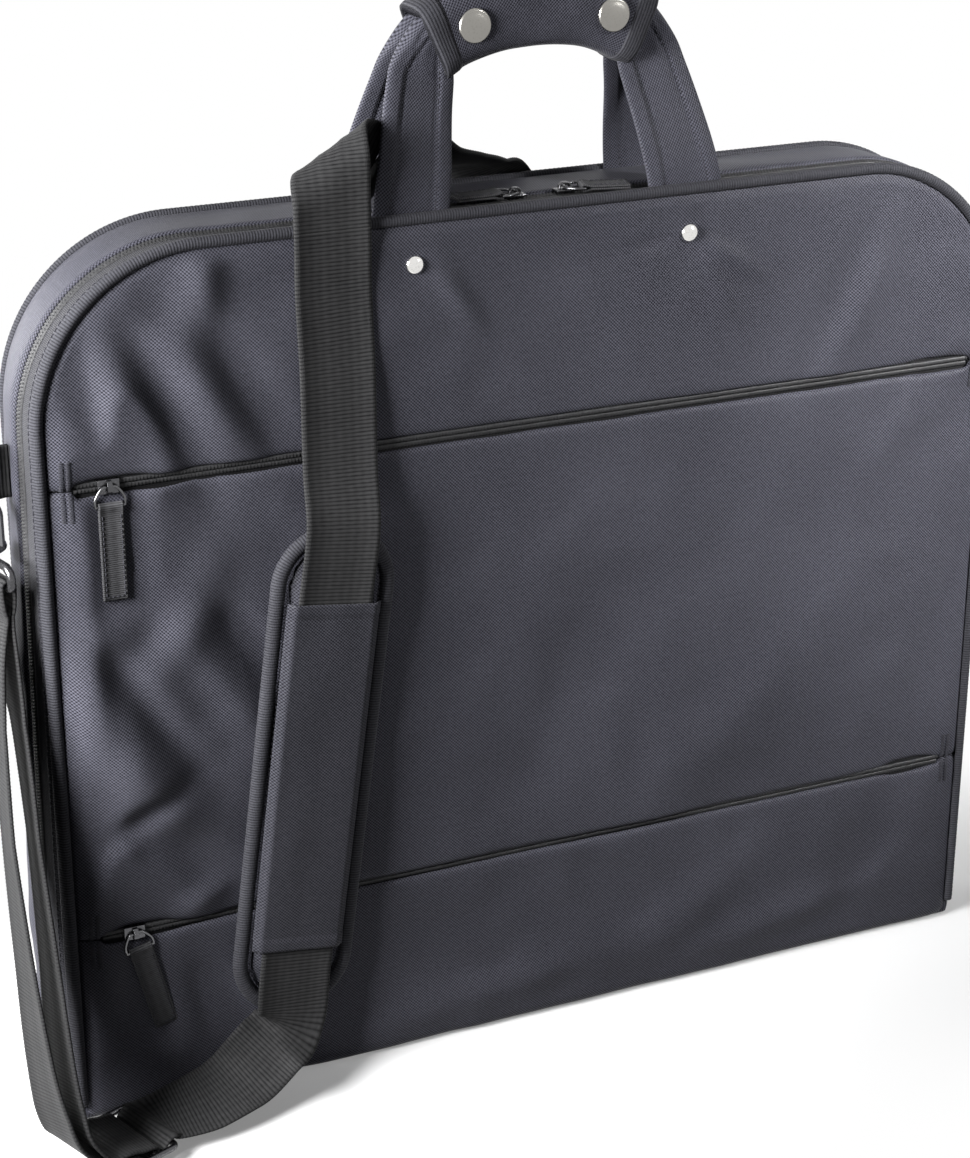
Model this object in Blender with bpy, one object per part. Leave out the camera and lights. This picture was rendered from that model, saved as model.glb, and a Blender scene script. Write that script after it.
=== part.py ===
"""Folding garment bag: two zipped halves, twin carrying handles and a detachable shoulder strap.

The bag stands on its bottom panel. X runs along the width, -Y is the front and Z is up, in metres.
The front half folds down about its lower front seam.
"""

import math

import bmesh
import bpy
from mathutils import Matrix, Vector

# Clearance between pieces that touch
GAP = 0.0003

# Bag body
PANEL_WIDTH = 0.540
PANEL_HEIGHT = 0.460
BAG_DEPTH = 0.060
SEAM_HEIGHT = 0.010
TOP_CORNER_RADIUS = 0.085
FABRIC = 0.0015
LINING = 0.0006
BOARD = 0.0013
PIPING_RADIUS = 0.0025
SIDE_SWELL_LOW = 0.014
SIDE_SWELL_HIGH = 0.006
TOP_SWELL = 0.001
CORNER_STEPS = 7
SIDE_STEPS = 4
BEND_STEPS = 6

# Zips
COIL_WIDTH = 0.0048
COIL_HEIGHT = 0.0014
ZIP_TAPE = 0.0008
ZIP_TAPE_WIDTH = 0.026
MAIN_ZIP_SETBACK = 0.022
UPPER_ZIP_HEIGHT = 0.347
LOWER_ZIP_HEIGHT = 0.100
POCKET_ZIP_MARGIN = 0.014
SLIDER_LENGTH = 0.011
SLIDER_FLANGE = 0.0009
SLIDER_ROOF = 0.0018
SLIDER_PLATE = 0.0012
BRIDGE_WIDTH = 0.0026
BRIDGE_SPAN = 0.0068
BRIDGE_HEIGHT = 0.0036
BRIDGE_WIRE = 0.0011
BAIL_WIRE = 0.00075
BAIL_TOP = 0.0072
BAIL_LENGTH = 0.0095
PULL_WIDTH = 0.0125
PULL_TAPE = 0.00105
POCKET_PULL_LENGTH = 0.049
MAIN_PULL_LENGTH = 0.024
POCKET_SLIDER_INSET = 0.017
MAIN_SLIDER_OFFSET = 0.014
LOWER_PULL_TILT = math.radians(-14)
RIGHT_PULL_YAW = math.radians(15)

# Carrying handles and grip
HANDLE_OFFSET = 0.077
HANDLE_WIDTH = 0.042
HANDLE_TAPE = 0.0026
HANDLE_TUCK = 0.029
HANDLE_RISE = 0.097
HANDLE_BEND = 0.034
CORE_WIDTH = 0.030
CORE_DEPTH = 0.012
GRIP_LENGTH = 0.116
GRIP_WALL = 0.004
GRIP_ROUND = 0.009
SNAP_RADIUS = 0.0085
SNAP_HEIGHT = 0.0026
SNAP_OFFSET = 0.038
RIVET_RADIUS = 0.0055
RIVET_DOME = 0.0024
RIVET_SHANK = 0.0018
RIVET_DROP = 0.021
RIVET_CAP = 0.0008
CUT_REACH = 0.012

# D-rings and swivel hooks
RING_WIRE = 0.002
RING_BAR = 0.032
RING_DEPTH = 0.024
RING_HEIGHT = 0.361
RING_SETBACK = 0.029
RING_STANDOFF = 0.0195
TAB_TAPE = 0.0013
RING_TURN = {"left": math.radians(230), "right": math.radians(20)}
HOOK_WIRE = 0.0024
HOOK_BEND = 0.0074
HOOK_REACH = 0.017
HOOK_DISC = 0.0098
HOOK_DISC_THICK = 0.0045
SWIVEL_RADIUS = 0.0022
SWIVEL_HEAD = 0.0036
SWIVEL_CAP = 0.0012
COLLAR_RADIUS = 0.0055
COLLAR_HEIGHT = 0.0045
EYE_WIRE = 0.0022
EYE_DROP = 0.0105
HOOK_LEAN = {"left": Vector((0.0, 0.0, -1.0)), "right": Vector((0.0, 0.6, -0.8))}
EYE_ALONG = {"left": Vector((0.25, -0.97, 0.0)), "right": Vector((0.0, 0.8, 0.6))}

# Shoulder strap
WEB_WIDTH = 0.040
WEB_THICK = 0.002
PAD_LENGTH = 0.276
PAD_WIDTH = 0.066
PAD_CROWN = 0.0085
PAD_RIM = 0.0035
SLEEVE_LENGTH = 0.196
SLEEVE_WIDTH = 0.050
SLEEVE_SKIN = 0.001
PAD_X = -0.1415
PAD_HEIGHT = 0.185
PAD_AHEAD = 0.0052
PAD_UP = Vector((0.133, 0.0, 0.991))
PAD_OUT = Vector((0.0, -1.0, 0.0))
GLIDE_INSET = 0.013
GLIDE_AHEAD = 0.0345
GLIDE_HEIGHT = 0.0105
GLIDE_ALONG = Vector((0.93, 0.36, 0.0))
GLIDE_ACROSS = Vector((0.36, -0.93, -0.05))
GLIDE_PITCH = 0.013
GLIDE_WIRE = 0.00175

# Lay of the webbing: shares of the way between two ends with an offset, and the direction across it
SIDE_RUN = [
    (0.20, (-0.008, 0.001, 0.004), (0.25, -0.96, 0.10)),
    (0.40, (-0.015, -0.002, 0.000), (0.27, -0.95, 0.15)),
    (0.65, (-0.022, -0.005, 0.000), (0.30, -0.94, 0.15)),
    (0.84, (-0.023, -0.008, 0.000), (0.33, -0.94, 0.10)),
    (0.95, (-0.015, -0.010, 0.000), (0.36, -0.93, 0.00)),
]
FLOOR_RUN = [
    (0.32, (0.000, -0.003, -0.007), (0.45, -0.85, -0.25)),
    (0.59, (0.000, -0.002, -0.010), (0.70, -0.66, -0.20)),
    (0.81, (0.000, -0.003, -0.004), (0.93, -0.35, -0.05)),
]
BACK_RUN = [
    (0.13, (0.000, 0.001, -0.010), (-0.66, 0.00, -0.75)),
    (0.30, (0.000, -0.004, -0.020), (-0.66, 0.00, -0.75)),
    (0.49, (0.000, -0.006, -0.028), (-0.66, 0.00, -0.75)),
    (0.67, (0.000, 0.000, -0.033), (-0.60, -0.10, -0.78)),
    (0.81, (0.000, 0.012, -0.030), (-0.45, -0.35, -0.80)),
    (0.93, (0.000, 0.014, -0.018), (-0.20, -0.60, -0.77)),
]
# The same over the top: from the left handle leg, from the front, middle or back, and from the top edge
TOP_RUN = [
    (-0.044, -1, -0.0080, -0.120, (1.00, 0.00, -0.03)),
    (-0.042, -1, -0.0046, -0.070, (1.00, 0.00, 0.00)),
    (-0.042, -1, -0.0038, -0.030, (1.00, 0.00, 0.00)),
    (-0.044, -1, -0.0046, -0.004, (0.98, 0.00, -0.15)),
    (-0.045, -1, -0.0034, 0.011, (0.97, 0.10, -0.25)),
    (-0.042, -1, 0.0050, 0.020, (0.70, 0.45, -0.50)),
    (-0.030, 0, 0.0010, 0.024, (0.15, 0.55, -0.80)),
    (-0.007, 0, 0.0040, 0.0225, (-0.25, 0.40, -0.87)),
    (0.021, 0, 0.0080, 0.021, (-0.30, 0.50, -0.80)),
    (0.046, 1, -0.0080, 0.015, (-0.55, 0.60, -0.55)),
    (0.063, 1, 0.0060, 0.009, (-0.75, 0.62, -0.10)),
    (0.079, 1, 0.0130, -0.007, (-0.80, 0.25, -0.50)),
    (0.093, 1, 0.0090, -0.029, (-0.68, 0.00, -0.73)),
]
BACK_LOOP = Vector((0.007, 0.034, -0.096))
BACK_LOOP_ACROSS = Vector((-0.05, -0.78, -0.60))
SEWN_TAIL = 0.036

# Inside
BAND_WIDTH = 0.030
BAND_HEIGHT = 0.190
LOOP_WIDTH = 0.016
LOOP_LENGTH = 0.045

# Worked out from the sizes above
HALF_DEPTH = BAG_DEPTH / 2
HALF_WIDTH = PANEL_WIDTH / 2
TOP = SEAM_HEIGHT + PANEL_HEIGHT
FRONT_FACE = -HALF_DEPTH - FABRIC
MAIN_ZIP_Y = -HALF_DEPTH + MAIN_ZIP_SETBACK
POCKET_ZIP_LENGTH = PANEL_WIDTH - 2 * POCKET_ZIP_MARGIN
SLIDER_HALF = COIL_WIDTH / 2 + GAP + SLIDER_FLANGE
SLOT_HALF = SLIDER_HALF + GAP
SLIDER_TOP = SLIDER_ROOF + SLIDER_PLATE
PULL_AXIS = SLIDER_TOP + (BRIDGE_HEIGHT - BRIDGE_WIRE) / 2
PANEL_INSET = PIPING_RADIUS + GAP
GUSSET_FRONT = MAIN_ZIP_Y + SLIDER_HALF + GAP
GUSSET_INNER = ZIP_TAPE / 2 + GAP
GUSSET_OUTER = GUSSET_INNER + FABRIC
POCKET_TAPE_Y = -HALF_DEPTH + GAP
LEG_OUTER = HALF_DEPTH - PIPING_RADIUS - GAP
LEG_CENTRE = LEG_OUTER - HANDLE_TAPE / 2
RIVET_BACK = LEG_OUTER - HANDLE_TAPE - GAP
LINING_Y = RIVET_BACK - RIVET_CAP - GAP
GRIP_CENTRE = TOP + HANDLE_RISE
CAVITY_DEPTH = CORE_DEPTH + 2 * GAP
CAVITY_HALF = CORE_WIDTH / 2 + 3 * GAP
GRIP_HALF = CAVITY_HALF + GRIP_WALL
UP = Vector((0.0, 0.0, 1.0))
PAD_CENTRE = Vector((PAD_X, FRONT_FACE - PAD_AHEAD, PAD_HEIGHT))
GLIDE_CENTRE = Vector((-HALF_WIDTH + GLIDE_INSET, FRONT_FACE - GLIDE_AHEAD, GLIDE_HEIGHT))


def new_material(name, colour, roughness, metallic=0.0):
    """A plain material with the piece's own colour."""
    material = bpy.data.materials.new(name)
    material.use_nodes = True
    shader = material.node_tree.nodes["Principled BSDF"]
    shader.inputs["Base Color"].default_value = (*colour, 1.0)
    shader.inputs["Roughness"].default_value = roughness
    shader.inputs["Metallic"].default_value = metallic
    return material


for old in list(bpy.data.objects):
    bpy.data.objects.remove(old)

FABRIC_CLOTH = new_material("charcoal_twill", (0.045, 0.045, 0.055), 0.75)
LINING_CLOTH = new_material("black_lining", (0.02, 0.02, 0.022), 0.8)
WEBBING = new_material("ribbed_webbing", (0.035, 0.035, 0.038), 0.85)
ZIP_CLOTH = new_material("zip_tape", (0.05, 0.05, 0.055), 0.7)
STEEL = new_material("polished_steel", (0.75, 0.75, 0.76), 0.15, 1.0)
GUNMETAL = new_material("gunmetal", (0.16, 0.16, 0.17), 0.3, 1.0)
STIFFENER = new_material("stiffener_board", (0.06, 0.055, 0.05), 0.9)


def smooth_share(share):
    """A share from 0 to 1 that starts and ends gently."""
    share = min(max(share, 0.0), 1.0)
    return share * share * (3 - 2 * share)


def keep(name, mesh, material, smooth=False):
    """Link a mesh as one named object with its material."""
    item = bpy.data.objects.new(name, mesh)
    bpy.context.scene.collection.objects.link(item)
    mesh.materials.clear()
    mesh.materials.append(material)
    if smooth:
        mesh.shade_smooth()
        mesh.set_sharp_from_angle(angle=math.radians(40))
    return item


def loft_mesh(name, rings, closed=False):
    """A closed body through rings of points, capped at both ends unless the rings close on themselves."""
    shape = bmesh.new()
    loops = [[shape.verts.new(point) for point in ring] for ring in rings]
    size = len(rings[0])
    pairs = list(zip(loops, loops[1:]))
    if closed:
        pairs.append((loops[-1], loops[0]))
    for here, there in pairs:
        for i in range(size):
            j = (i + 1) % size
            shape.faces.new((here[i], here[j], there[j], there[i]))
    if not closed:
        shape.faces.new(loops[0])
        shape.faces.new(loops[-1])
    bmesh.ops.recalc_face_normals(shape, faces=shape.faces)
    mesh = bpy.data.meshes.new(name)
    shape.to_mesh(mesh)
    shape.free()
    return mesh


def loft(name, rings, material, smooth=False):
    """A lofted piece."""
    return keep(name, loft_mesh(name, rings), material, smooth)


def prism_mesh(name, outline, place, start, end):
    """An outline of (a, b) points, placed by place(a, b, height) at two heights."""
    return loft_mesh(name, [[place(a, b, height) for a, b in outline] for height in (start, end)])


def turned_mesh(name, profile, matrix, sides=16):
    """A body turned about the matrix's Z axis from (radius, height) points."""
    rings = []
    for radius, height in profile:
        angles = [2 * math.pi * i / sides for i in range(sides)]
        rings.append([matrix @ Vector((radius * math.cos(a), radius * math.sin(a), height)) for a in angles])
    return loft_mesh(name, rings)


def tube_mesh(name, points, radius, cyclic=False, sides=8):
    """A round tube along points, made by a bevelled curve."""
    curve = bpy.data.curves.new(name, "CURVE")
    curve.dimensions = "3D"
    curve.bevel_depth = radius
    curve.bevel_resolution = (sides - 4) // 2
    curve.use_fill_caps = not cyclic
    spline = curve.splines.new("POLY")
    spline.points.add(len(points) - 1)
    for target, point in zip(spline.points, points):
        target.co = (*point, 1.0)
    spline.use_cyclic_u = cyclic
    holder = bpy.data.objects.new(name, curve)
    bpy.context.scene.collection.objects.link(holder)
    mesh = bpy.data.meshes.new_from_object(holder.evaluated_get(bpy.context.evaluated_depsgraph_get()))
    bpy.data.objects.remove(holder)
    shape = bmesh.new()
    shape.from_mesh(mesh)
    bmesh.ops.remove_doubles(shape, verts=shape.verts, dist=1e-6)
    bmesh.ops.recalc_face_normals(shape, faces=shape.faces)
    shape.to_mesh(mesh)
    shape.free()
    return mesh


def combined(name, base, others, operation):
    """The mesh left when others are joined to a base mesh or cut from it."""
    body = bpy.data.objects.new(name, base)
    bpy.context.scene.collection.objects.link(body)
    tools = []
    for other in others:
        tool = bpy.data.objects.new(name + "_tool", other)
        bpy.context.scene.collection.objects.link(tool)
        tools.append(tool)
        change = body.modifiers.new("combine", "BOOLEAN")
        change.operation = operation
        change.solver = "EXACT"
        change.object = tool
    bpy.context.view_layer.update()
    mesh = bpy.data.meshes.new_from_object(body.evaluated_get(bpy.context.evaluated_depsgraph_get()))
    for item in [body, *tools]:
        bpy.data.objects.remove(item)
    return mesh


def box_mesh(name, low, high):
    """An upright box between two corners."""
    outline = [(low[0], low[1]), (high[0], low[1]), (high[0], high[1]), (low[0], high[1])]
    return prism_mesh(name, outline, lambda a, b, h: Vector((a, b, h)), low[2], high[2])


def frame_matrix(origin, across, along, out):
    """A matrix whose columns are three axes and an origin."""
    return Matrix.Translation(origin) @ Matrix((across, along, out)).transposed().to_4x4()


def joint_empty(name, place):
    """An empty on a joint's axis."""
    empty = bpy.data.objects.new(name, None)
    bpy.context.scene.collection.objects.link(empty)
    empty.location = place
    return empty


def hang(empty, items, parent=None):
    """Parent pieces to a joint's empty, and that empty to the one that carries it, without moving them."""
    for item in items:
        item.parent = empty
        item.matrix_parent_inverse = Matrix.Translation(empty.location).inverted()
    if parent is not None:
        empty.parent = parent
        empty.matrix_parent_inverse = Matrix.Translation(parent.location).inverted()


# Outer edge of the bag, from the lower left, over the top, to the lower right
def edge_stations(start):
    """Points of the outer edge with their outward direction and how far the wall swells there."""
    corner = TOP - TOP_CORNER_RADIUS
    half = []
    for i in range(SIDE_STEPS):
        height = start + (corner - start) * i / SIDE_STEPS
        swell = SIDE_SWELL_HIGH + (SIDE_SWELL_LOW - SIDE_SWELL_HIGH) * (1 - height / corner)
        half.append((Vector((-HALF_WIDTH, 0, height)), Vector((-1, 0, 0)), swell))
    for i in range(CORNER_STEPS + 1):
        share = i / CORNER_STEPS
        angle = math.pi - share * math.pi / 2
        out = Vector((math.cos(angle), 0, math.sin(angle)))
        centre = Vector((-HALF_WIDTH + TOP_CORNER_RADIUS, 0, corner))
        swell = SIDE_SWELL_HIGH + (TOP_SWELL - SIDE_SWELL_HIGH) * share
        half.append((centre + out * TOP_CORNER_RADIUS, out, swell))
    mirror = Matrix.Diagonal((-1, 1, 1))
    return half + [(mirror @ point, mirror @ out, swell) for point, out, swell in reversed(half)]


def wall_point(station, depth, offset):
    """A point of the swelling side wall at one depth, offset outwards."""
    point, out, swell = station
    share = max(0.0, 1 - (depth / HALF_DEPTH) ** 2)
    return point + out * (offset + swell * share) + Vector((0, depth, 0))


def wall_sweep(name, profile, start):
    """A mesh swept round the bag's edge from a profile of (depth, offset) points."""
    rings = [[wall_point(s, depth, offset) for depth, offset in profile] for s in edge_stations(start)]
    return loft_mesh(name, rings)


def strip_profile(front, back, low, high, steps):
    """The profile of a flat strip of wall between two depths."""
    depths = [front + (back - front) * i / steps for i in range(steps + 1)]
    return [(d, low) for d in depths] + [(d, high) for d in reversed(depths)]


def sheet(name, bottom, inset, front, back, material):
    """A full-size sheet inside the bag's edge."""
    rings = []
    for depth in (front, back):
        rings.append([wall_point(s, depth, -inset) for s in edge_stations(bottom)])
    return loft(name, rings, material)


# Carrying handles
def bend_stations(first):
    """Stations (x, z, direction) of both top bends of a handle, from a first angle up to the grip."""
    stations = []
    for i in range(BEND_STEPS + 1):
        angle = first + (math.pi / 2 - first) * i / BEND_STEPS
        x = -HANDLE_OFFSET + HANDLE_BEND * (1 - math.cos(angle))
        z = GRIP_CENTRE - HANDLE_BEND * (1 - math.sin(angle))
        stations.append((x, z, math.pi / 2 - angle))
    return stations + [(-x, z, -turn) for x, z, turn in reversed(stations)]


def handle_path():
    """Stations of a whole handle, from its left foot to its right foot."""
    low = TOP - HANDLE_TUCK
    foot = TOP + 2 * PIPING_RADIUS
    middle = (foot + GRIP_CENTRE - HANDLE_BEND) / 2
    left = [(-HANDLE_OFFSET, height, math.pi / 2) for height in (low, foot, middle)]
    return left + bend_stations(0.0) + [(-x, z, -turn) for x, z, turn in reversed(left)]


def grip_path():
    """Stations of the stretch that the grip covers."""
    return bend_stations(math.acos(1 - (HANDLE_OFFSET - GRIP_LENGTH / 2) / HANDLE_BEND))


def handle_mesh(name, side):
    """One folded webbing handle, flat at its feet and rolled to half of the grip at its top."""
    rings = []
    foot = TOP + 2 * PIPING_RADIUS
    for x, z, turn in handle_path():
        lean = smooth_share((z - foot) / (GRIP_CENTRE - HANDLE_BEND - foot))
        roll = smooth_share((z - foot) / (GRIP_CENTRE - foot))
        centre = side * (LEG_CENTRE + ((CORE_DEPTH + GAP) / 2 - LEG_CENTRE) * lean)
        across = Vector((-math.sin(turn), 0, math.cos(turn)))
        width = HANDLE_WIDTH + (CORE_WIDTH - HANDLE_WIDTH) * roll
        thick = HANDLE_TAPE + (CORE_DEPTH - HANDLE_TAPE) * roll
        middle = Vector((x, centre, z))
        corners = ((-1, -0.5), (-0.7, -1), (0.7, -1), (1, -0.5), (1, 0.5), (0.7, 1), (-0.7, 1), (-1, 0.5))
        rings.append([middle + across * (a * width / 2) + Vector((0, b * thick / 2, 0)) for a, b in corners])
    return loft_mesh(name, rings)


def rivet(name, x, side):
    """A domed rivet through a panel and the handle's foot behind it."""
    matrix = frame_matrix(
        Vector((x, side * (HALF_DEPTH + FABRIC + GAP), TOP - RIVET_DROP)),
        Vector((1, 0, 0)),
        Vector((0, 0, side * -1)),
        Vector((0, side, 0)),
    )
    depth = HALF_DEPTH + FABRIC + GAP - RIVET_BACK
    profile = [
        (RIVET_RADIUS * 0.8, -depth - RIVET_CAP),
        (RIVET_RADIUS * 0.8, -depth),
        (RIVET_SHANK, -depth),
        (RIVET_SHANK, 0),
        (RIVET_RADIUS, 0),
        (RIVET_RADIUS, RIVET_DOME * 0.35),
        (RIVET_RADIUS * 0.8, RIVET_DOME * 0.75),
        (RIVET_RADIUS * 0.4, RIVET_DOME),
    ]
    return keep(name, turned_mesh(name, profile, matrix), STEEL, True)


def rivet_holes(side):
    """Cutters for the rivet shanks on one side of the bag."""
    tools = []
    for x in (-HANDLE_OFFSET, HANDLE_OFFSET):
        matrix = frame_matrix(
            Vector((x, side * LEG_CENTRE, TOP - RIVET_DROP)),
            Vector((1, 0, 0)),
            Vector((0, 0, -1)),
            Vector((0, 1, 0)),
        )
        radius = RIVET_SHANK + GAP
        tools.append(turned_mesh("hole", [(radius, -CUT_REACH), (radius, CUT_REACH)], matrix))
    return tools


def leg_notches(side):
    """Cutters that let the handle's legs out of the seam."""
    half = HANDLE_WIDTH / 2 + GAP
    near = LEG_CENTRE - HANDLE_TAPE / 2 - GAP
    far = HALF_DEPTH
    tools = []
    for x in (-HANDLE_OFFSET, HANDLE_OFFSET):
        depths = sorted((side * near, side * far))
        low = (x - half, depths[0], TOP - CUT_REACH)
        high = (x + half, depths[1], TOP + CUT_REACH)
        tools.append(box_mesh("notch", low, high))
    return tools


# Front half
def front_panel(name, bottom, top):
    """One front panel between two cut heights, stepped back where a pocket zip shows."""
    edge = HALF_WIDTH - PANEL_INSET
    slot = POCKET_ZIP_LENGTH / 2
    outline = []
    if bottom is None:
        outline += [(-edge, SEAM_HEIGHT), (edge, SEAM_HEIGHT)]
    else:
        step = bottom + SLOT_HALF
        seam = bottom + GAP / 2
        outline += [(-edge, seam), (-slot, seam), (-slot, step), (slot, step), (slot, seam), (edge, seam)]
    if top is None:
        arc = [wall_point(s, -HALF_DEPTH, -PANEL_INSET) for s in edge_stations(SEAM_HEIGHT)]
        outline += [(p.x, p.z) for p in reversed(arc) if p.z > bottom + SLOT_HALF]
    else:
        step = top - SLOT_HALF
        seam = top - GAP / 2
        outline += [(edge, seam), (slot, seam), (slot, step), (-slot, step), (-slot, seam), (-edge, seam)]
    mesh = prism_mesh(name, outline, lambda x, z, y: Vector((x, y, z)), FRONT_FACE, -HALF_DEPTH)
    if top is None:
        mesh = combined(name, mesh, rivet_holes(-1), "DIFFERENCE")
    return keep(name, mesh, FABRIC_CLOTH)


def pocket_zip(name, height):
    """A pocket zip: tape behind the panels and a coil standing in the slot."""
    wide = ZIP_TAPE_WIDTH / 2
    coil = COIL_WIDTH / 2
    face = POCKET_TAPE_Y
    outline = [
        (height - wide, face + ZIP_TAPE),
        (height + wide, face + ZIP_TAPE),
        (height + wide, face),
        (height + coil, face),
        (height + coil * 0.6, face - COIL_HEIGHT),
        (height - coil * 0.6, face - COIL_HEIGHT),
        (height - coil, face),
        (height - wide, face),
    ]
    half = POCKET_ZIP_LENGTH / 2 - GAP
    return keep(name, prism_mesh(name, outline, lambda z, y, x: Vector((x, y, z)), -half, half), ZIP_CLOTH)


def pocket_bag(name, bottom, top):
    """A flat pocket lining hung behind the front panels."""
    edge = HALF_WIDTH - PANEL_INSET
    front = POCKET_TAPE_Y + ZIP_TAPE + GAP
    return keep(name, box_mesh(name, (-edge, front, bottom), (edge, front + LINING, top)), LINING_CLOTH)


# Zip sliders and pulls
def slider_mesh(name, front_flange, across_bridge):
    """A slider over the coil at the origin: X along the zip, Z out of the tape."""
    c = COIL_WIDTH / 2 + GAP
    o = SLIDER_HALF
    if front_flange:
        outline = [(-o, GAP), (-c, GAP), (-c, SLIDER_ROOF)]
    else:
        outline = [(-o, SLIDER_ROOF)]
    outline += [(c, SLIDER_ROOF), (c, GAP), (o, GAP), (o, SLIDER_TOP), (-o, SLIDER_TOP)]
    half = SLIDER_LENGTH / 2
    body = prism_mesh(name, outline, lambda y, z, x: Vector((x, y, z)), -half, half)
    outer = BRIDGE_SPAN / 2
    inner = outer - BRIDGE_WIRE
    foot = SLIDER_TOP - SLIDER_PLATE / 4
    crown = SLIDER_TOP + BRIDGE_HEIGHT
    shoulder = BRIDGE_HEIGHT / 2
    arch = [
        (-outer, foot),
        (-outer, crown - shoulder),
        (-outer + shoulder, crown),
        (outer - shoulder, crown),
        (outer, crown - shoulder),
        (outer, foot),
        (inner, foot),
        (inner, crown - shoulder),
        (inner - shoulder / 2, crown - BRIDGE_WIRE),
        (-inner + shoulder / 2, crown - BRIDGE_WIRE),
        (-inner, crown - shoulder),
        (-inner, foot),
    ]
    wide = BRIDGE_WIDTH / 2
    if across_bridge:
        bridge = prism_mesh(name, arch, lambda y, z, x: Vector((x, y, z)), -wide, wide)
    else:
        bridge = prism_mesh(name, arch, lambda x, z, y: Vector((x, y, z)), -wide, wide)
    return combined(name, body, [bridge], "UNION")


def hairpin(hole, tape, length):
    """The outline of a tape folded round a bar at the origin, with both layers running down."""
    slit = GAP / 2
    outer = hole + tape
    turns = [math.pi * i / 8 for i in range(9)]
    outline = [(-(slit + tape), -length), (-(slit + tape), -2 * outer)]
    outline += [(-outer * math.cos(a), outer * math.sin(a)) for a in turns]
    outline += [(slit + tape, -2 * outer), (slit + tape, -length), (slit, -length), (slit, -2 * outer)]
    outline += [(hole * math.cos(a), hole * math.sin(a)) for a in turns]
    outline += [(-slit, -2 * outer), (-slit, -length)]
    return outline


def pull(name, matrix, length):
    """A wire bail and the tab folded round it; the matrix puts X on the hinge and -Z along the pull."""
    top = BAIL_TOP / 2
    bottom = PULL_WIDTH / 2 + BAIL_WIRE + GAP
    knee = 2 * (BAIL_WIRE + GAP + PULL_TAPE) - BAIL_LENGTH
    corners = [(-top, 0), (top, 0), (bottom, knee), (bottom, -BAIL_LENGTH)]
    corners += [(-bottom, -BAIL_LENGTH), (-bottom, knee)]
    wire = tube_mesh(name, [matrix @ Vector((x, 0, z)) for x, z in corners], BAIL_WIRE, True)
    bail = keep(name + "_bail", wire, STEEL, True)
    outline = hairpin(BAIL_WIRE + GAP, PULL_TAPE, length)
    half = PULL_WIDTH / 2
    tape = prism_mesh(name, outline, lambda y, z, x: matrix @ Vector((x, y, z - BAIL_LENGTH)), -half, half)
    return [bail, keep(name + "_tab", tape, WEBBING)]


def zip_slider(name, place, along, out, flange, across_bridge, direction, hinge, length, tilt=0.0):
    """A slider with its pull; the pull runs along direction and turns about hinge."""
    matrix = frame_matrix(place, along, out.cross(along), out)
    mesh = slider_mesh(name, flange, across_bridge)
    mesh.transform(matrix)
    slider = keep(name, mesh, GUNMETAL)
    axis = place + out * PULL_AXIS
    turn = Matrix.Rotation(tilt, 4, "Y")
    hanging = frame_matrix(axis, hinge, hinge.cross(direction), -direction) @ turn
    pieces = pull(name.replace("slider", "pull"), hanging, length)
    return slider, pieces, axis


# D-rings and swivel hooks
def ring_direction(side):
    """The way a D-ring points from its bar."""
    return Vector((math.cos(RING_TURN[side]), math.sin(RING_TURN[side]), 0))


def ring_bar(side):
    """The middle of a D-ring's bar."""
    sign = -1 if side == "left" else 1
    return Vector((sign * (HALF_WIDTH + RING_STANDOFF), -HALF_DEPTH + RING_SETBACK, RING_HEIGHT))


def d_ring(side):
    """A D-ring with straight sides, whose bar lies in the tab's fold."""
    name = "d_ring_" + side
    half = RING_BAR / 2
    flat = RING_DEPTH - half
    corners = [(0, -half), (0, half)]
    angles = [math.pi * (0.5 - i / 8) for i in range(9)]
    corners += [(flat + half * math.cos(a), half * math.sin(a)) for a in angles]
    way = ring_direction(side)
    points = [ring_bar(side) + way * a + UP * b for a, b in corners]
    return keep(name, tube_mesh(name, points, RING_WIRE, True), GUNMETAL, True)


def ring_tab(side):
    """A folded webbing tab sewn to the side wall, holding the ring's bar."""
    name = "ring_tab_" + side
    sign = -1 if side == "left" else 1
    bar = ring_bar(side)
    corner = TOP - TOP_CORNER_RADIUS
    swell = SIDE_SWELL_HIGH + (SIDE_SWELL_LOW - SIDE_SWELL_HIGH) * (1 - (RING_HEIGHT - RING_BAR / 2) / corner)
    wall = HALF_WIDTH + swell + GUSSET_OUTER
    outline = hairpin(RING_WIRE + GAP, TAB_TAPE, abs(bar.x) - wall - GAP)
    half = RING_BAR / 2 - RING_WIRE - 2 * GAP
    mesh = prism_mesh(name, outline, lambda y, x, z: bar + Vector((sign * x, y, z)), -half, half)
    return keep(name, mesh, WEBBING)


def hook_matrix(side):
    """The hook's frame: Z from the eye up to the ring's wire, Y along that wire."""
    way = ring_direction(side)
    contact = ring_bar(side) + way * (RING_DEPTH - RING_BAR / 2) - UP * (RING_BAR / 2)
    lean = HOOK_LEAN[side]
    lean = (lean - way * lean.dot(way)).normalized()
    return frame_matrix(contact, way.cross(-lean), way, -lean)


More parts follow.
